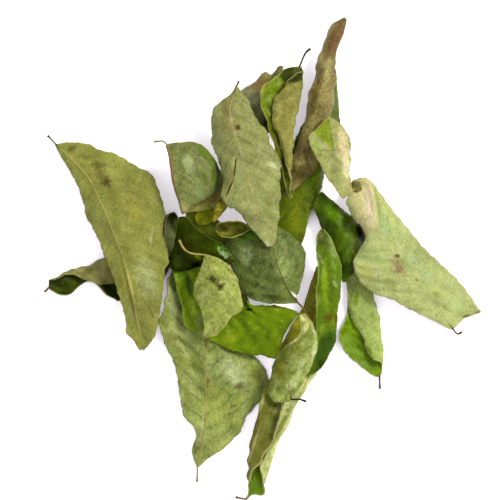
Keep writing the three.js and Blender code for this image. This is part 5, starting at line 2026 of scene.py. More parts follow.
MATTE_GREY = Skin((150, 155, 96), (128, 134, 72), (178, 182, 128), 0.8)
MATTE_PALE = Skin((166, 178, 110), (146, 160, 84), (188, 196, 136), 0.78)
GLOSS_BRIGHT = Skin((112, 142, 20), (84, 116, 8), (140, 166, 50), 0.42, side_veins=0.2, net=0.1)
GLOSS_GREEN = Skin((92, 116, 16), (66, 90, 8), (122, 142, 44), 0.38, side_veins=0.2, net=0.1)
GLOSS_DARK = Skin((50, 66, 10), (34, 44, 6), (76, 90, 28), 0.4, side_veins=0.2, net=0.1)

# Black: painted deep shade in a pocket and in a slit, and one small black dot on the rolled leaflet
NEARLY_BLACK: Colour = (20, 18, 8)
SMUDGE: Colour = (92, 82, 42)
BROWN_MARK: Colour = (112, 90, 46)

# From the lowest leaflet up
LEAFLETS = (
    Leaflet("leaf_far_left_rolled", Slot.GREY_GREEN, FAR_LEFT_ROLLED, Face.UPPER, 11, finish=LeafFinish(
        under=Skin((144, 142, 90), (120, 119, 67), (164, 160, 112), 0.8),
        upper=Skin((64, 78, 16), (43, 54, 7), (90, 105, 35), 0.5, side_veins=0.2, net=0.1),
        rim=(160, 152, 100), rim_strength=0.6, gloss=0.12,
        patches=(
            Patch(-45, -7, 2.2, 1, (76, 98, 22), 0.6),
            Patch(-37, -5.4, 1.3, 0.45, (158, 150, 102), 0.6, -20),
            Patch(-38.4, -2.8, 3, 1.2, (108, 104, 58), 0.7, 20),
            Patch(-33.4, -6.6, 2.6, 1.2, (62, 84, 34), 0.7, -40),
            Patch(-20.4, 3.6, 5.4, 2, (120, 128, 88), 0.92, -72, 0.4, 0.2),
            # painted shade: darker where the leaflets above shade the far end
            Patch(-20.5, -3, 1.4, 0.7, (66, 66, 32), 0.6, -80),
        ))),
    Leaflet("leaf_lower_left", Slot.PALE_GREEN, LOWER_LEFT, Face.UNDER, 12, finish=LeafFinish(
        under=Skin((160, 171, 104), (142, 155, 78), (100, 112, 50), 0.74, side_veins=0.75),
        upper=GLOSS_GREEN, rib=(172, 162, 108), stalk=(166, 154, 92), rim=(142, 138, 80), tone=0.5,
        gloss=0.28, vein_spacing=3.4,
        patches=(
            Patch(-11, -33, 8, 3.4, (152, 162, 74), 0.6, -80),
            Patch(-6.6, -25, 6, 2.8, (184, 196, 140), 0.8, -55),
            Patch(-6.5, -26.5, 1.8, 1.1, (192, 200, 156), 0.6, -50),
            Patch(-5.1, -28, 1.5, 1, SMUDGE, 0.85, 20, 0.85, 0.9),
            Patch(-6.6, -32.6, 1.2, 0.9, SMUDGE, 0.75, 0, 0.85, 0.9),
            Patch(-9, -31, 5.4, 1.3, (142, 154, 64), 0.6, -68),
            # painted shade along the rolled right margin
            Patch(-1.4, -25.5, 4, 1.6, (118, 126, 56), 0.65, -66),
            Patch(-20, -10, 5.6, 1.4, (168, 178, 124), 0.8, -76, 0.6),
            Patch(-18.2, -8, 3, 0.6, (74, 78, 36), 0.85, 88, 0.7, 0.4),
            Patch(-18, -16, 4.2, 1, (168, 174, 118), 0.65, -14),
            Patch(-20.3, -17.5, 2.4, 1.3, (116, 106, 52), 0.75, -40, 0.85, 0.7),
            Patch(-17.8, -18.2, 2.8, 0.5, (92, 92, 42), 0.7, -45),
            Patch(-17, -21, 2.6, 0.45, (188, 190, 140), 0.7, -60),
            Patch(-14.5, -23.5, 4.4, 1.6, (110, 126, 56), 0.75, -68),
            Patch(-12.4, -18.8, 1.8, 0.6, (104, 84, 42), 0.8, -88, 0.8, 0.6),
            Patch(-12.3, -27, 2, 0.6, (138, 100, 50), 0.8, -86, 0.8, 0.6),
            Patch(-13.4, -37, 7, 0.5, (182, 176, 126), 0.7, 83),
            Patch(-15.2, -41, 3.2, 0.45, (86, 88, 38), 0.7, -78),
            Patch(-16.4, -31, 5, 1.3, (122, 134, 62), 0.55, -76),
        ))),
    Leaflet("leaf_under_speckled", Slot.BRIGHT_GREEN, UNDER_SPECKLED, Face.UPPER, 13, finish=LeafFinish(
        under=MATTE_PALE,
        upper=Skin((137, 167, 34), (108, 138, 17), (158, 184, 60), 0.46, side_veins=0.15, net=0.1),
        rib_strength=0.1, rim=(150, 164, 80), rim_strength=0.5,
        patches=(
            Patch(-17.8, -3.6, 2.2, 1.4, (118, 168, 28), 0.85, -40),
            # painted shadow cast by the speckled leaflet's margin
            Patch(-16.2, -6, 3.6, 1.1, (58, 92, 8), 0.9, -75, 0.6),
            Patch(-15.4, -11.5, 3, 1.2, (160, 184, 54), 0.9, -70),
            Patch(-13.9, -14, 2.4, 0.9, (140, 154, 96), 0.8, -75),
        ))),
    Leaflet("leaf_under_middle", Slot.DARK_GREEN, UNDER_MIDDLE, Face.UPPER, 14, finish=LeafFinish(
        under=MATTE_GREY, upper=Skin((126, 141, 38), (98, 113, 23), (146, 158, 60), 0.6), rib_strength=0.1,
        rim_strength=0.3)),
    Leaflet("leaf_right_lower", Slot.PALE_GREEN, RIGHT_LOWER, Face.UPPER, 15, finish=LeafFinish(
        under=Skin((168, 184, 106), (148, 166, 80), (188, 198, 134), 0.7),
        upper=Skin((108, 142, 8), (82, 116, 4), (138, 164, 42), 0.42, side_veins=0.25), stalk=(92, 60, 30),
        rib=(70, 72, 20), rim=(190, 194, 128), tone=0.44, gloss=0.12,
        patches=(
            Patch(20.3, -9, 2.6, 1.1, (116, 130, 38), 0.9, 85),
            Patch(19.4, -8.6, 1.8, 0.5, (72, 62, 22), 0.6, 80, 0.8, 0.8),
            Patch(24, -23.8, 2.2, 1, (68, 98, 8), 0.6, -40),
            Patch(23.4, -20.4, 1.6, 0.7, (108, 130, 36), 0.85, -62),
            Patch(25.5, -26, 1.2, 0.8, BROWN_MARK, 0.7, -50),
            Patch(20.2, -15.6, 3, 1.1, (140, 172, 16), 0.8, -66),
            Patch(24.6, -11, 3.6, 0.9, (184, 196, 136), 0.6, -78),
        ))),
    Leaflet("leaf_bottom_pale", Slot.YELLOW_GREEN, BOTTOM_PALE, Face.UNDER, 16, finish=LeafFinish(
        under=Skin((208, 214, 148), (186, 194, 118), (218, 222, 168), 0.78), upper=GLOSS_GREEN,
        rib=(178, 178, 112), rim=(210, 206, 154), tone=0.5,
        patches=(
            Patch(3.9, -37, 8, 0.9, (118, 126, 56), 0.8, 64),
            Patch(9, -27, 3, 1.3, (212, 208, 156), 0.7, 55),
        ))),
    Leaflet("leaf_bottom_rolled", Slot.DARK_GREEN, BOTTOM_ROLLED, Face.UPPER, 17, finish=LeafFinish(
        under=Skin((112, 115, 47), (91, 94, 32), (133, 134, 72), 0.62, side_veins=0.16),
        upper=Skin((90, 122, 17), (67, 98, 8), (116, 142, 38), 0.42, side_veins=0.15), rib_strength=0.2,
        rim=(186, 180, 122), rim_width=0.42, rim_strength=0.7, tone=0.34, gloss=0.24,
        patches=(
            Patch(2.75, -32.3, 0.42, 0.34, NEARLY_BLACK, 0.95, 0, 0.5, 0.2),
            # dark green upper face on the right side, darkened further by painted shade where the roll
            # turns from the light
            Patch(3, -36, 6, 1.3, (50, 60, 8), 0.9, 72, 0.6),
            Patch(-0.6, -31.6, 2.8, 1.1, (172, 178, 110), 0.85, 72),
            Patch(3.6, -31.6, 2, 0.9, (100, 104, 44), 0.85, 72),
            Patch(-2, -41, 7, 0.5, (170, 158, 106), 0.7, 72),
            Patch(0.2, -37, 6, 0.8, (130, 134, 58), 0.6, 70),
        ))),
    Leaflet("leaf_olive_strip", Slot.OLIVE, OLIVE_STRIP, Face.UNDER, 18, finish=LeafFinish(
        under=Skin((168, 166, 48), (139, 137, 29), (186, 182, 88), 0.6), upper=GLOSS_GREEN,
        rim=(184, 180, 96),
        patches=(
            Patch(9.4, -14, 3, 1.4, (140, 108, 52), 0.7, 60),
        ))),
    Leaflet("leaf_glossy_upper", Slot.YELLOW_GREEN, GLOSSY_UPPER, Face.UPPER, 19, finish=LeafFinish(
        under=MATTE_GREY,
        upper=Skin((111, 129, 8), (84, 104, 4), (148, 164, 46), 0.38, side_veins=0.25, net=0.14),
        rib=(146, 150, 54), rim=(140, 142, 60), tone=0.42, gloss=0.24,
        patches=(
            Patch(7, 9.6, 5.4, 2, (126, 136, 14), 0.7, 74),
            Patch(10.6, 17.2, 3, 1.4, (102, 140, 18), 0.8, 50),
            Patch(13.4, 18, 3.2, 0.9, (50, 84, 40), 0.85, -70),
            Patch(11.6, 9, 2.4, 0.5, (160, 168, 90), 0.5, 70), Patch(8.5, 5, 1.6, 0.6, BROWN_MARK, 0.6, 60),
            Patch(16.2, 34.8, 7, 1.8, (96, 114, 70), 0.85, 88, 0.5),
            Patch(4.4, 12, 3, 0.8, (92, 100, 8), 0.5, 80),
        ))),
    Leaflet("leaf_dark_right", Slot.DARK_GREEN, DARK_RIGHT, Face.UPPER, 20, finish=LeafFinish(
        under=MATTE_GREY,
        upper=Skin((81, 102, 8), (56, 78, 4), (106, 124, 32), 0.42, side_veins=0.12, net=0.08),
        rib_strength=0.15, rim=(120, 132, 50), rim_strength=0.35, gloss=0.14,
        patches=(
            Patch(15.4, 9.6, 4.4, 1.7, (92, 136, 14), 0.75, -52),
            Patch(18.2, 7, 2.4, 1.3, (42, 62, 4), 0.8, -60),
            Patch(18.2, 1.6, 3, 1.2, (70, 112, 12), 0.5, -80),
            # painted shade: the black pocket between this leaflet and the large right one
            Patch(21.4, 5.5, 2.8, 1.2, (12, 14, 4), 0.96, -72, 0.5, 0.2),
            Patch(20.2, 1, 1.6, 0.6, (128, 122, 54), 0.65, -40),
            Patch(18.4, -1.8, 2, 1, (44, 62, 6), 0.5, 85),
        ))),
    Leaflet("leaf_top_grey", Slot.BRIGHT_GREEN, TOP_GREY, Face.UNDER, 21, finish=LeafFinish(
        under=Skin((139, 140, 94), (105, 109, 62), (162, 161, 120), 0.66), upper=GLOSS_GREEN,
        rib_strength=0.3, rim=(104, 68, 38), rim_width=0.34, rim_strength=0.7, gloss=0.24, tone=0.5,
        patches=(
            Patch(-0.8, 38.2, 4.4, 1.3, (150, 122, 76), 0.85, 36, 0.6, 0.6),
            Patch(2.6, 39.6, 1.8, 1, (140, 132, 68), 0.7, 40),
            # painted light: much paler than the face, so that it looks lit under the shade of the leaflets
            # above
            Patch(-2, 35, 2.8, 2, (174, 178, 136), 0.85, -60),
            Patch(0.8, 29, 3, 1.2, (62, 68, 46), 0.75, -65),
        ))),
    Leaflet("leaf_bright_centre", Slot.BRIGHT_GREEN, BRIGHT_CENTRE, Face.UPPER, 22, finish=LeafFinish(
        under=MATTE_PALE, upper=Skin((99, 127, 4), (70, 99, 2), (126, 148, 28), 0.4, side_veins=0.2),
        rib_strength=0.2, rim=(176, 188, 106), rim_strength=0.6, tone=0.44, gloss=0.24,
        patches=(
            # the second mark on this line is painted shade along the margin beside the dark right leaflet
            Patch(13, 4.4, 3.6, 1.9, (76, 86, 6), 0.85, -80), Patch(16, -3, 6, 0.9, (88, 122, 4), 0.8, -82),
            Patch(13.6, -5.6, 6.6, 1.1, (136, 160, 34), 0.7, -88),
            # painted highlight
            Patch(15.8, -5.8, 1.3, 0.6, (176, 196, 118), 0.7, -60),
            Patch(13.2, -15.8, 1.9, 1, (136, 168, 50), 0.85, -80),
            Patch(14.6, -13, 1.7, 1.2, (92, 60, 14), 0.85, 30, 0.8, 0.9),
            Patch(16, -13.5, 1.8, 0.45, (108, 60, 20), 0.75, -85),
            Patch(13.9, -20.4, 5.8, 2.8, (54, 84, 2), 0.94, 76, 0.45),
            Patch(12.6, -24, 3.2, 1.4, (34, 52, 4), 0.6, 60),
        ))),
    Leaflet("leaf_right_large", Slot.PALE_GREEN, RIGHT_LARGE, Face.UNDER, 23, finish=LeafFinish(
        under=Skin((181, 190, 128), (166, 178, 110), (198, 204, 148), 0.78, side_veins=0.3),
        upper=GLOSS_GREEN, rib=(190, 186, 132), rib_strength=0.5, stalk=(104, 58, 52), rim=(192, 176, 134),
        rim_width=0.5, rim_strength=0.7, tone=0.36,
        patches=(
            Patch(22, 11.6, 6.4, 3, (199, 191, 138), 0.95, -84, 0.22, 0.1, 4),
            Patch(25.8, -0.6, 2.4, 1.6, (154, 174, 100), 0.7, -60),
            Patch(23.2, 11.4, 5.6, 1.3, (203, 186, 163), 0.9, -84, 0.6, 0.15, 3),
            Patch(19.8, 9.2, 2.8, 0.8, (158, 170, 98), 0.8, -80),
            # painted shade inside the curl at the top, in these two marks
            Patch(20.5, 15.8, 1.7, 1.3, (114, 108, 50), 0.95, -40, 0.4, 0.3),
            Patch(20.3, 14.6, 0.9, 0.5, (64, 60, 24), 0.85, -20),
            Patch(26.2, 13, 1.6, 1, (198, 188, 122), 0.6, -50),
            Patch(22.4, -3, 2.8, 1.8, (192, 192, 106), 0.7, -60),
            Patch(28, -6, 2.8, 1.5, (142, 154, 90), 0.7, -60),
            Patch(29.6, -1.8, 3.4, 1.9, (160, 128, 98), 0.85, -60, 0.9, 0.9),
            Patch(29.4, 0.4, 0.8, 0.6, (92, 68, 42), 0.9, 0, 0.7, 0.8),
            Patch(33.5, -4.7, 0.8, 0.45, (160, 112, 56), 0.75, -40, 0.8, 0.8),
            Patch(26.6, 6.4, 3, 1.2, (166, 190, 142), 0.6, -70),
            Patch(32.8, -0.5, 2.4, 1.2, (172, 194, 150), 0.6, -45),
            Patch(36, -3.5, 2.6, 1.1, (174, 194, 146), 0.55, -40),
            Patch(43, -10.5, 1.8, 0.8, (160, 188, 126), 0.65, -40),
            Patch(38, -8, 1.6, 0.7, (146, 156, 74), 0.7, -45),
            Patch(40, -11, 1.4, 0.6, (146, 156, 72), 0.65, -45),
            Patch(41, -15, 1.6, 0.7, (148, 180, 70), 0.7, -20),
            Patch(44.7, -12.7, 1.4, 0.35, (128, 90, 54), 0.8, 20, 0.7, 0.6),
            Patch(47.3, -12, 0.8, 0.5, (118, 82, 50), 0.85, 40),
        ))),
    Leaflet("leaf_bright_low", Slot.BRIGHT_GREEN, BRIGHT_LOW, Face.UPPER, 24, finish=LeafFinish(
        under=MATTE_PALE,
        upper=Skin((115, 142, 4), (100, 127, 2), (133, 155, 25), 0.5, side_veins=0.14, net=0.14),
        rib_strength=0.15, rim=(108, 122, 30), tone=0.26, gloss=0.1, speck=(166, 178, 60), speck_share=0.4,
        patches=(
            Patch(-7.6, -17.6, 2.6, 1.3, (146, 156, 40), 0.7, 5),
            Patch(-3.9, -8.6, 2, 0.9, (124, 126, 38), 0.85, -70),
            # a slit in the blade, painted black as the shade seen through it
            Patch(-3.1, -11.3, 1.1, 0.3, NEARLY_BLACK, 0.95, 4, 0.5, 0.2),
            Patch(3.6, -19.8, 2.6, 1, (96, 122, 4), 0.5, 70),
        ))),
    Leaflet("leaf_round_dark", Slot.DARK_GREEN, ROUND_DARK, Face.UNDER, 25, finish=LeafFinish(
        under=Skin((104, 119, 63), (83, 98, 40), (133, 145, 93), 0.6, side_veins=0.26, net=0.26),
        upper=GLOSS_GREEN, rib=(84, 80, 34), rib_strength=0.8, rim=(144, 148, 90), tone=0.7, gloss=0.26,
        patches=(
            Patch(-4.2, -5.6, 4.4, 2.2, (74, 88, 36), 0.7, -30),
            Patch(-3.4, 5, 3.6, 1.7, (88, 138, 16), 0.95, 18, 0.6),
            # painted highlight
            Patch(-3.4, 0.6, 3.2, 2, (134, 152, 108), 0.8, -60),
            Patch(4.2, -2, 5.2, 2.6, (134, 150, 86), 0.75, 80),
            Patch(4.3, 3.2, 2.2, 1, (138, 152, 90), 0.7, -60),
            Patch(-2.4, -1, 1.6, 0.8, (70, 76, 36), 0.85, 60, 0.9, 0.9),
            Patch(1.8, -1.6, 1.5, 0.7, (72, 78, 38), 0.8, -60, 0.9, 0.9),
            Patch(-1.5, -5.8, 1.4, 0.8, (64, 70, 32), 0.8, 40, 0.9, 0.9),
            Patch(3.2, -4.8, 2.6, 1.5, (80, 88, 34), 0.75, -30),
            # painted shade along the lower edge, in these two marks
            Patch(2.4, -8.6, 4, 0.9, (64, 74, 24), 0.85, -8, 0.6),
            Patch(-3.4, -8.2, 3, 1, (60, 72, 22), 0.85, 10),
            Patch(-7, -3, 2.6, 0.8, (64, 84, 26), 0.6, -60),
            Patch(8, -9.6, 1.6, 0.9, (86, 66, 30), 0.7, -45),
            # a pale torn rim brightened by a painted highlight
            Patch(6.9, -8.1, 1.4, 0.4, (230, 230, 212), 0.9, -42, 0.5),
        ))),
    Leaflet("leaf_small_oval", Slot.YELLOW_GREEN, SMALL_OVAL, Face.UNDER, 26,
        wave=0.1, crumple=0.06, finish=LeafFinish(
        under=Skin((170, 178, 26), (140, 146, 12), (188, 192, 70), 0.56), upper=GLOSS_BRIGHT,
        rib_strength=0.15, rim=(176, 170, 80))),
    Leaflet("leaf_under_upper_left", Slot.OLIVE, UNDER_UPPER_LEFT, Face.UNDER, 27, finish=LeafFinish(
        under=Skin((150, 148, 76), (120, 116, 48), (172, 166, 102), 0.7), upper=GLOSS_DARK,
        rib_strength=0.1, rim=(180, 170, 112), rim_strength=0.6,
        patches=(
            Patch(-14.3, 11.3, 1.8, 1, (158, 160, 90), 0.7, -10),
            Patch(-10.9, 13.2, 1.9, 1, (132, 98, 50), 0.8, 40, 0.8, 0.6),
            Patch(-12.3, 13.2, 0.6, 0.45, (58, 42, 20), 0.9, 0, 0.7, 0.7),
        ))),
    Leaflet("leaf_upper_left", Slot.GREY_GREEN, UPPER_LEFT, Face.UNDER, 28, finish=LeafFinish(
        under=Skin((118, 125, 74), (99, 109, 55), (160, 165, 119), 0.66, side_veins=0.55),
        upper=GLOSS_BRIGHT, rib=(146, 118, 78), rim=(150, 120, 80), rim_width=0.34, rim_strength=0.6,
        stalk=(158, 142, 86), tone=0.44, gloss=0.24,
        patches=(
            Patch(-16.4, 20.8, 3, 1.6, (160, 172, 122), 0.85, -62),
            Patch(-14, 14.6, 2.8, 1.6, (122, 137, 92), 0.7, -60),
            Patch(-13, 17.6, 2.6, 1.3, (98, 108, 46), 0.8, -62),
            Patch(-12.2, 22.7, 4, 1.5, (92, 114, 22), 0.9, -46, 0.6, 0.2),
            # green upper face at the rolled margin, darkened by painted shade
            Patch(-10.3, 18, 4.2, 1.5, (80, 100, 14), 0.92, -86, 0.6, 0.2),
            Patch(-20, 17, 8, 0.9, (146, 106, 70), 0.85, -86, 0.6, 0.4),
            Patch(-17, 10.6, 1.4, 0.9, (160, 140, 96), 0.75, -40),
        ))),
    Leaflet("leaf_brown_top", Slot.BROWN, BROWN_TOP, Face.UNDER, 29, wave=0.1, finish=LeafFinish(
        under=Skin((142, 128, 78), (110, 93, 50), (164, 152, 104), 0.62, 2.4, 0.65), upper=GLOSS_GREEN,
        rib_strength=0.15, rim=(92, 70, 40), rim_width=0.45, speck=(82, 62, 34), speck_share=0.3, tone=0.56,
        gloss=0.24,
        patches=(
            Patch(16.3, 48, 6.4, 2.8, (106, 76, 50), 0.92, 68, 0.6),
            Patch(14.2, 40.6, 4, 1, (176, 168, 118), 0.75, 82, 0.8, 0.6),
            Patch(14.2, 35, 3.4, 1, (152, 136, 84), 0.6, 84, 0.8, 0.7),
            Patch(11.4, 36, 6.4, 0.9, (100, 84, 40), 0.8, 76),
            Patch(12.4, 28.8, 2.8, 1.6, (92, 72, 38), 0.7, 60, 0.8, 0.6),
            Patch(11.8, 24, 2.6, 1.4, (136, 128, 76), 0.6, 60),
            Patch(8, 18.4, 3.6, 1.6, (98, 86, 34), 0.75, 60),
            Patch(12, 20.4, 2.6, 0.8, (126, 122, 36), 0.6, 50),
        ))),
    Leaflet("leaf_dark_middle", Slot.DARK_GREEN, DARK_MIDDLE, Face.UPPER, 30, finish=LeafFinish(
        under=MATTE_GREY,
        upper=Skin((54, 64, 12), (40, 46, 6), (74, 84, 26), 0.7, side_veins=0.1, net=0.08),
        rib_strength=0.1, rim=(124, 130, 66), rim_strength=0.5, gloss=0.03,
        patches=(
            Patch(-18.6, -0.6, 2.6, 1.3, (62, 76, 40), 0.6, 60),
            Patch(-16.4, 2, 2.2, 1.2, (58, 42, 12), 0.8, -40, 0.8, 0.6),
            Patch(-9, 1.6, 3, 1.1, (60, 104, 18), 0.85, -38),
            # painted highlight specks
            Patch(-8.6, 1.2, 1.8, 0.8, (184, 206, 158), 0.6, -50, 0.95, 1.8),
            Patch(-14.2, 0.2, 1.5, 0.6, (118, 128, 20), 0.8, -30),
            # painted deep shade under the speckled leaflet's stalk
            Patch(-14.7, -1.5, 1.6, 1, NEARLY_BLACK, 0.95),
        ))),
    Leaflet("leaf_small_rolled", Slot.YELLOW_GREEN, SMALL_ROLLED, Face.UPPER, 31,
        wave=0.1, crumple=0.06, finish=LeafFinish(
        under=Skin((148, 148, 66), (116, 114, 38), (168, 164, 92), 0.6),
        upper=Skin((112, 116, 44), (76, 80, 20), (134, 138, 70), 0.5, 1.6, 0.7), rib_strength=0.2,
        rim=(176, 172, 96), rim_width=0.4, rim_strength=0.7,
        patches=(
            Patch(-8.4, 6.5, 1.6, 0.6, (88, 58, 24), 0.85, -20),
            Patch(-5, 7, 1.2, 0.6, (98, 130, 24), 0.75),
            Patch(-8.5, 5.4, 1.2, 0.4, (164, 154, 58), 0.8, -8),
        ))),
    Leaflet("leaf_top_folded", Slot.OLIVE, TOP_FOLDED, Face.UPPER, 32, finish=LeafFinish(
        under=Skin((152, 148, 82), (130, 126, 60), (174, 170, 110), 0.7),
        upper=Skin((118, 138, 34), (92, 112, 18), (146, 164, 64), 0.42, side_veins=0.15),
        stalk=(84, 56, 30), rib_strength=0.1, rim=(172, 162, 104), rim_strength=0.6, tone=0.5,
        patches=(
            Patch(6.2, 40.4, 3.2, 2.4, (56, 66, 12), 0.95, -5, 0.25),
            Patch(-0.4, 36, 3.4, 0.8, (134, 136, 66), 0.8, 70),
            Patch(2.4, 24.2, 8.8, 2.5, (80, 90, 24), 0.95, -72.7, 0.35, 0.2),
            Patch(3.4, 24.6, 4.6, 0.5, (134, 124, 66), 0.6, -72, 0.8, 0.5),
            Patch(5.4, 15, 2.4, 0.8, (46, 56, 20), 0.7, -80),
        ))),
    Leaflet("leaf_speckled", Slot.PALE_GREEN, SPECKLED, Face.UNDER, 33, finish=LeafFinish(
        under=Skin((166, 177, 95), (137, 149, 60), (186, 194, 120), 0.68, side_veins=0.14),
        upper=GLOSS_GREEN, rib_strength=0.06, speck=(96, 100, 36), speck_share=0.45, stalk=(180, 168, 98),
        rim=(164, 162, 88), tone=0.54, gloss=0.24,
        patches=(
            Patch(-10.2, -5.3, 3, 1.4, (88, 84, 38), 0.6, -36, 0.95, 1.1),
            Patch(-9.2, -6.1, 1.7, 1, (54, 48, 20), 0.95, 20, 0.85, 1.1),
            Patch(-11, -4.7, 1.9, 0.9, (58, 52, 22), 0.95, -25, 0.85, 1.1),
            Patch(-4.9, -7, 4.2, 0.5, (188, 184, 114), 0.8, -88, 0.5),
            Patch(-7.3, -2.7, 1.9, 0.5, (138, 118, 56), 0.75, -46),
            Patch(-13, -8.4, 2.6, 1, (182, 188, 124), 0.6, 70),
            Patch(-9.8, -14.6, 3, 1.4, (154, 158, 82), 0.5, 60),
            Patch(-10.4, -1.2, 2.4, 0.8, (118, 116, 40), 0.5, -20),
        ))),
    Leaflet("leaf_pale_curled", Slot.PALE_GREEN, PALE_CURLED, Face.UNDER, 34, finish=LeafFinish(
        under=Skin((143, 157, 81), (100, 114, 35), (166, 177, 115), 0.68, 2.6, 0.65),
        upper=Skin((160, 158, 84), (134, 130, 54), (184, 180, 118), 0.6), rib_strength=0.12,
        stalk=(50, 42, 16), rim=(180, 176, 110), rim_strength=0.6, tone=0.6, gloss=0.3,
        patches=(
            Patch(3.7, -23, 4.4, 1.3, (106, 110, 22), 0.85, 70, 0.6),
            Patch(7.5, -20, 2.4, 1.2, (122, 128, 38), 0.75, -62),
            Patch(4.6, -20.4, 2.4, 1.2, (94, 110, 8), 0.85, 66),
            Patch(3.8, -25.4, 2, 1, (118, 124, 16), 0.85, 70),
            Patch(11.3, -16, 2.2, 0.7, (188, 198, 146), 0.7, -66),
            Patch(11.2, -20.6, 4, 0.8, (190, 200, 150), 0.75, 82),
            Patch(8.2, -24, 3.2, 0.8, (184, 194, 138), 0.7, 75),
            Patch(6.4, -27.6, 3, 1.4, (180, 190, 132), 0.65, 50),
            Patch(8.3, -28.7, 1.9, 0.5, (80, 84, 32), 0.8, 75),
            Patch(8.9, -13.3, 1.4, 0.8, (210, 206, 142), 0.85, -40),
            Patch(9.3, -15.2, 1.6, 0.8, (208, 202, 136), 0.85, 63),
            Patch(7.1, -17.7, 2.1, 0.7, (204, 196, 128), 0.8, 40),
        ))),
    Leaflet("leaf_folded_right", Slot.PALE_GREEN, FOLDED_RIGHT, Face.UNDER, 35, finish=LeafFinish(
        under=Skin((166, 168, 110), (147, 152, 87), (186, 184, 133), 0.76, 1.8, 0.65), upper=GLOSS_GREEN,
        rib_strength=0.1, rim=(178, 152, 100), rim_width=0.42, rim_strength=0.65, speck=(128, 130, 62),
        speck_share=0.4,
        patches=(
            Patch(17.6, 24.6, 5, 1.7, (206, 188, 152), 0.75, -84, 0.6),
            Patch(14.2, 19.4, 3.4, 1.2, (168, 182, 108), 0.6, -62),
            Patch(18.2, 19.6, 4, 1.2, (216, 204, 168), 0.8, -85),
            Patch(11.4, 24.8, 2.1, 1.6, (150, 174, 98), 0.75, -60, 0.5),
            Patch(15, 23.5, 3.4, 0.28, (136, 128, 74), 0.6, 0, 0.7),
            Patch(12.3, 29.5, 7, 2.5, (136, 156, 46), 0.95, 118.3, 0.15, 0.12, 1),
        ))),
    Leaflet("leaf_torn_yellow", Slot.YELLOW_GREEN, TORN_YELLOW, Face.UNDER, 36,
        wave=0.1, crumple=0.06, finish=LeafFinish(
        under=Skin((140, 136, 42), (108, 100, 24), (163, 158, 74), 0.66, 1.5, 0.7), upper=GLOSS_GREEN,
        rib_strength=0.1, rim=(104, 72, 28), rim_strength=0.6)),
    Leaflet("leaf_centre", Slot.GREY_GREEN, CENTRE, Face.UNDER, 37, finish=LeafFinish(
        under=Skin((143, 148, 90), (127, 132, 72), (182, 182, 138), 0.68, side_veins=0.4),
        upper=GLOSS_GREEN, rib=(170, 160, 108), rib_strength=0.5, stalk=(84, 66, 34), rim=(140, 132, 80),
        tone=0.4, gloss=0.28,
        patches=(
            Patch(-8, 32, 6.4, 1.7, (138, 124, 74), 0.7, 82),
            Patch(-6.9, 29.6, 5.6, 0.7, (184, 174, 122), 0.75, -80, 0.8),
            Patch(-6.3, 28.6, 2.2, 1.6, (128, 108, 62), 0.75, 0, 0.9),
            Patch(-5.6, 28.5, 0.9, 0.75, (70, 52, 26), 0.95, 60, 0.7, 0.8),
            Patch(-6.6, 18, 4.6, 0.8, (130, 110, 62), 0.45, 76, 0.9, 0.6),
            Patch(-6, 22, 0.7, 0.4, (192, 184, 140), 0.8, 60, 0.8, 0.7),
            Patch(-6.8, 15.6, 0.7, 0.4, (190, 182, 136), 0.8, 60, 0.8, 0.7),
            Patch(-6.1, 20, 2.7, 0.24, (44, 32, 14), 0.95, 83, 0.5, 0.35),
            Patch(-7.3, 15.3, 2.4, 0.26, (44, 32, 14), 0.95, 66, 0.5, 0.35),
            # painted highlights on the right side, in these two marks
            Patch(2.2, 20.3, 1.8, 0.9, (200, 208, 166), 0.8, -30),
            Patch(-0.4, 22.6, 4, 1.2, (166, 172, 122), 0.4, -66),
            Patch(-2.9, 16.2, 2.5, 0.35, (180, 162, 108), 0.75, -72),
            Patch(-1.5, 11.5, 2.7, 0.35, (174, 154, 98), 0.75, -79),
            Patch(-2, 9, 3.2, 0.9, (168, 158, 108), 0.6, -84),
            Patch(-9.3, 18.5, 5.8, 0.4, (88, 92, 46), 0.8, 90),
            Patch(1, 3, 1.6, 0.9, (186, 190, 146), 0.7, -70, 0.8, 0.7),
            Patch(1.4, 10, 5, 1, (128, 134, 72), 0.5, -80),
        ))),
    Leaflet("leaf_left_large", Slot.OLIVE, LEFT_LARGE, Face.UNDER, 38, finish=LeafFinish(
        under=Skin((140, 143, 72), (126, 131, 59), (164, 162, 96), 0.74, net=0.3), upper=GLOSS_GREEN,
        rib=(180, 168, 98), rib_strength=0.75, stalk=(96, 88, 62), rim=(140, 132, 72), tone=0.4, gloss=0.24,
        patches=(
            Patch(-28.4, 10.6, 6, 3, (150, 142, 66), 0.5, -55),
            # paler lower right: painted sheen
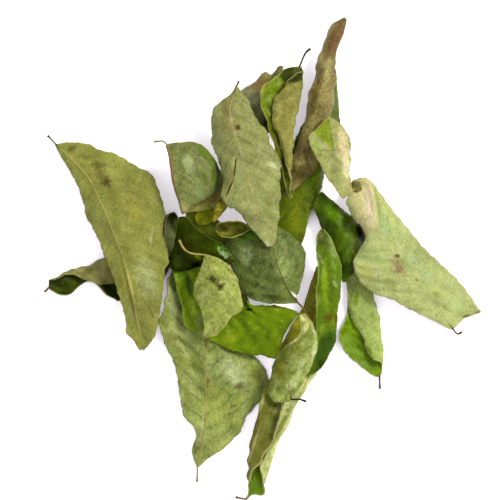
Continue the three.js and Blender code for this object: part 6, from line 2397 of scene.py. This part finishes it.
            Patch(-25.5, -4.5, 6.4, 3.2, (167, 174, 119), 0.8, -72),
            Patch(-24.5, 4.5, 2.8, 0.5, (174, 176, 122), 0.65, 85),
            Patch(-22.4, -5, 3.4, 0.8, (140, 148, 56), 0.65, -84),
            Patch(-31, -5.5, 3.2, 0.9, (130, 135, 40), 0.75, -76),
            Patch(-29, -12, 2.6, 0.9, (162, 166, 110), 0.6, -75),
            Patch(-24.5, -12, 1.6, 0.6, (122, 94, 54), 0.65, -70, 0.9, 0.8),
            Patch(-28.2, -18.3, 1.9, 0.7, (144, 108, 52), 0.75, -45, 0.8, 0.6),
            # painted shadow beside the midrib
            Patch(-29.4, -7, 8.6, 0.5, (112, 102, 46), 0.7, -76.5, 0.7, 0.1),
            Patch(-29, -6, 5.4, 0.3, (190, 178, 108), 0.9, -77, 0.6, 0.1),
            Patch(-27.5, -13.6, 4.4, 0.28, (186, 170, 100), 0.9, -79, 0.6, 0.1),
            Patch(-42, 23.8, 1.3, 1.1, SMUDGE, 0.85, 0, 0.8, 0.9),
            Patch(-39, 22.2, 2.6, 0.9, (104, 102, 48), 0.7, -14, 0.9, 0.8),
            Patch(-35.2, 18.4, 4, 2.1, (110, 104, 54), 0.75, -50, 0.95, 0.6),
            Patch(-36.2, 20.2, 2.2, 1.4, SMUDGE, 0.75, -20, 0.9, 1.0),
            Patch(-34.4, 16.6, 2, 1.4, (80, 66, 38), 0.92, -50, 0.85, 0.9),
            Patch(-33.2, 14.2, 1.8, 1.1, (112, 102, 52), 0.6, -60, 0.9, 0.9),
        ))),
)


def main() -> None:
    """Builds the sprig and the studio in order."""
    logging.basicConfig(level=logging.INFO, format="%(message)s")
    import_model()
    Studio().set_up()
    effects = Effects()
    stem = Rachis()
    offset = stem.offset()
    log.info("the layout is moved by %.3f and %.3f mm", offset[0], offset[1])
    heap = Heap()
    stem.pile_on(heap)
    stem.build(offset, effects)
    for leaflet in LEAFLETS:
        leaflet.build(heap, offset, effects)


if __name__ == "__main__":
    main()
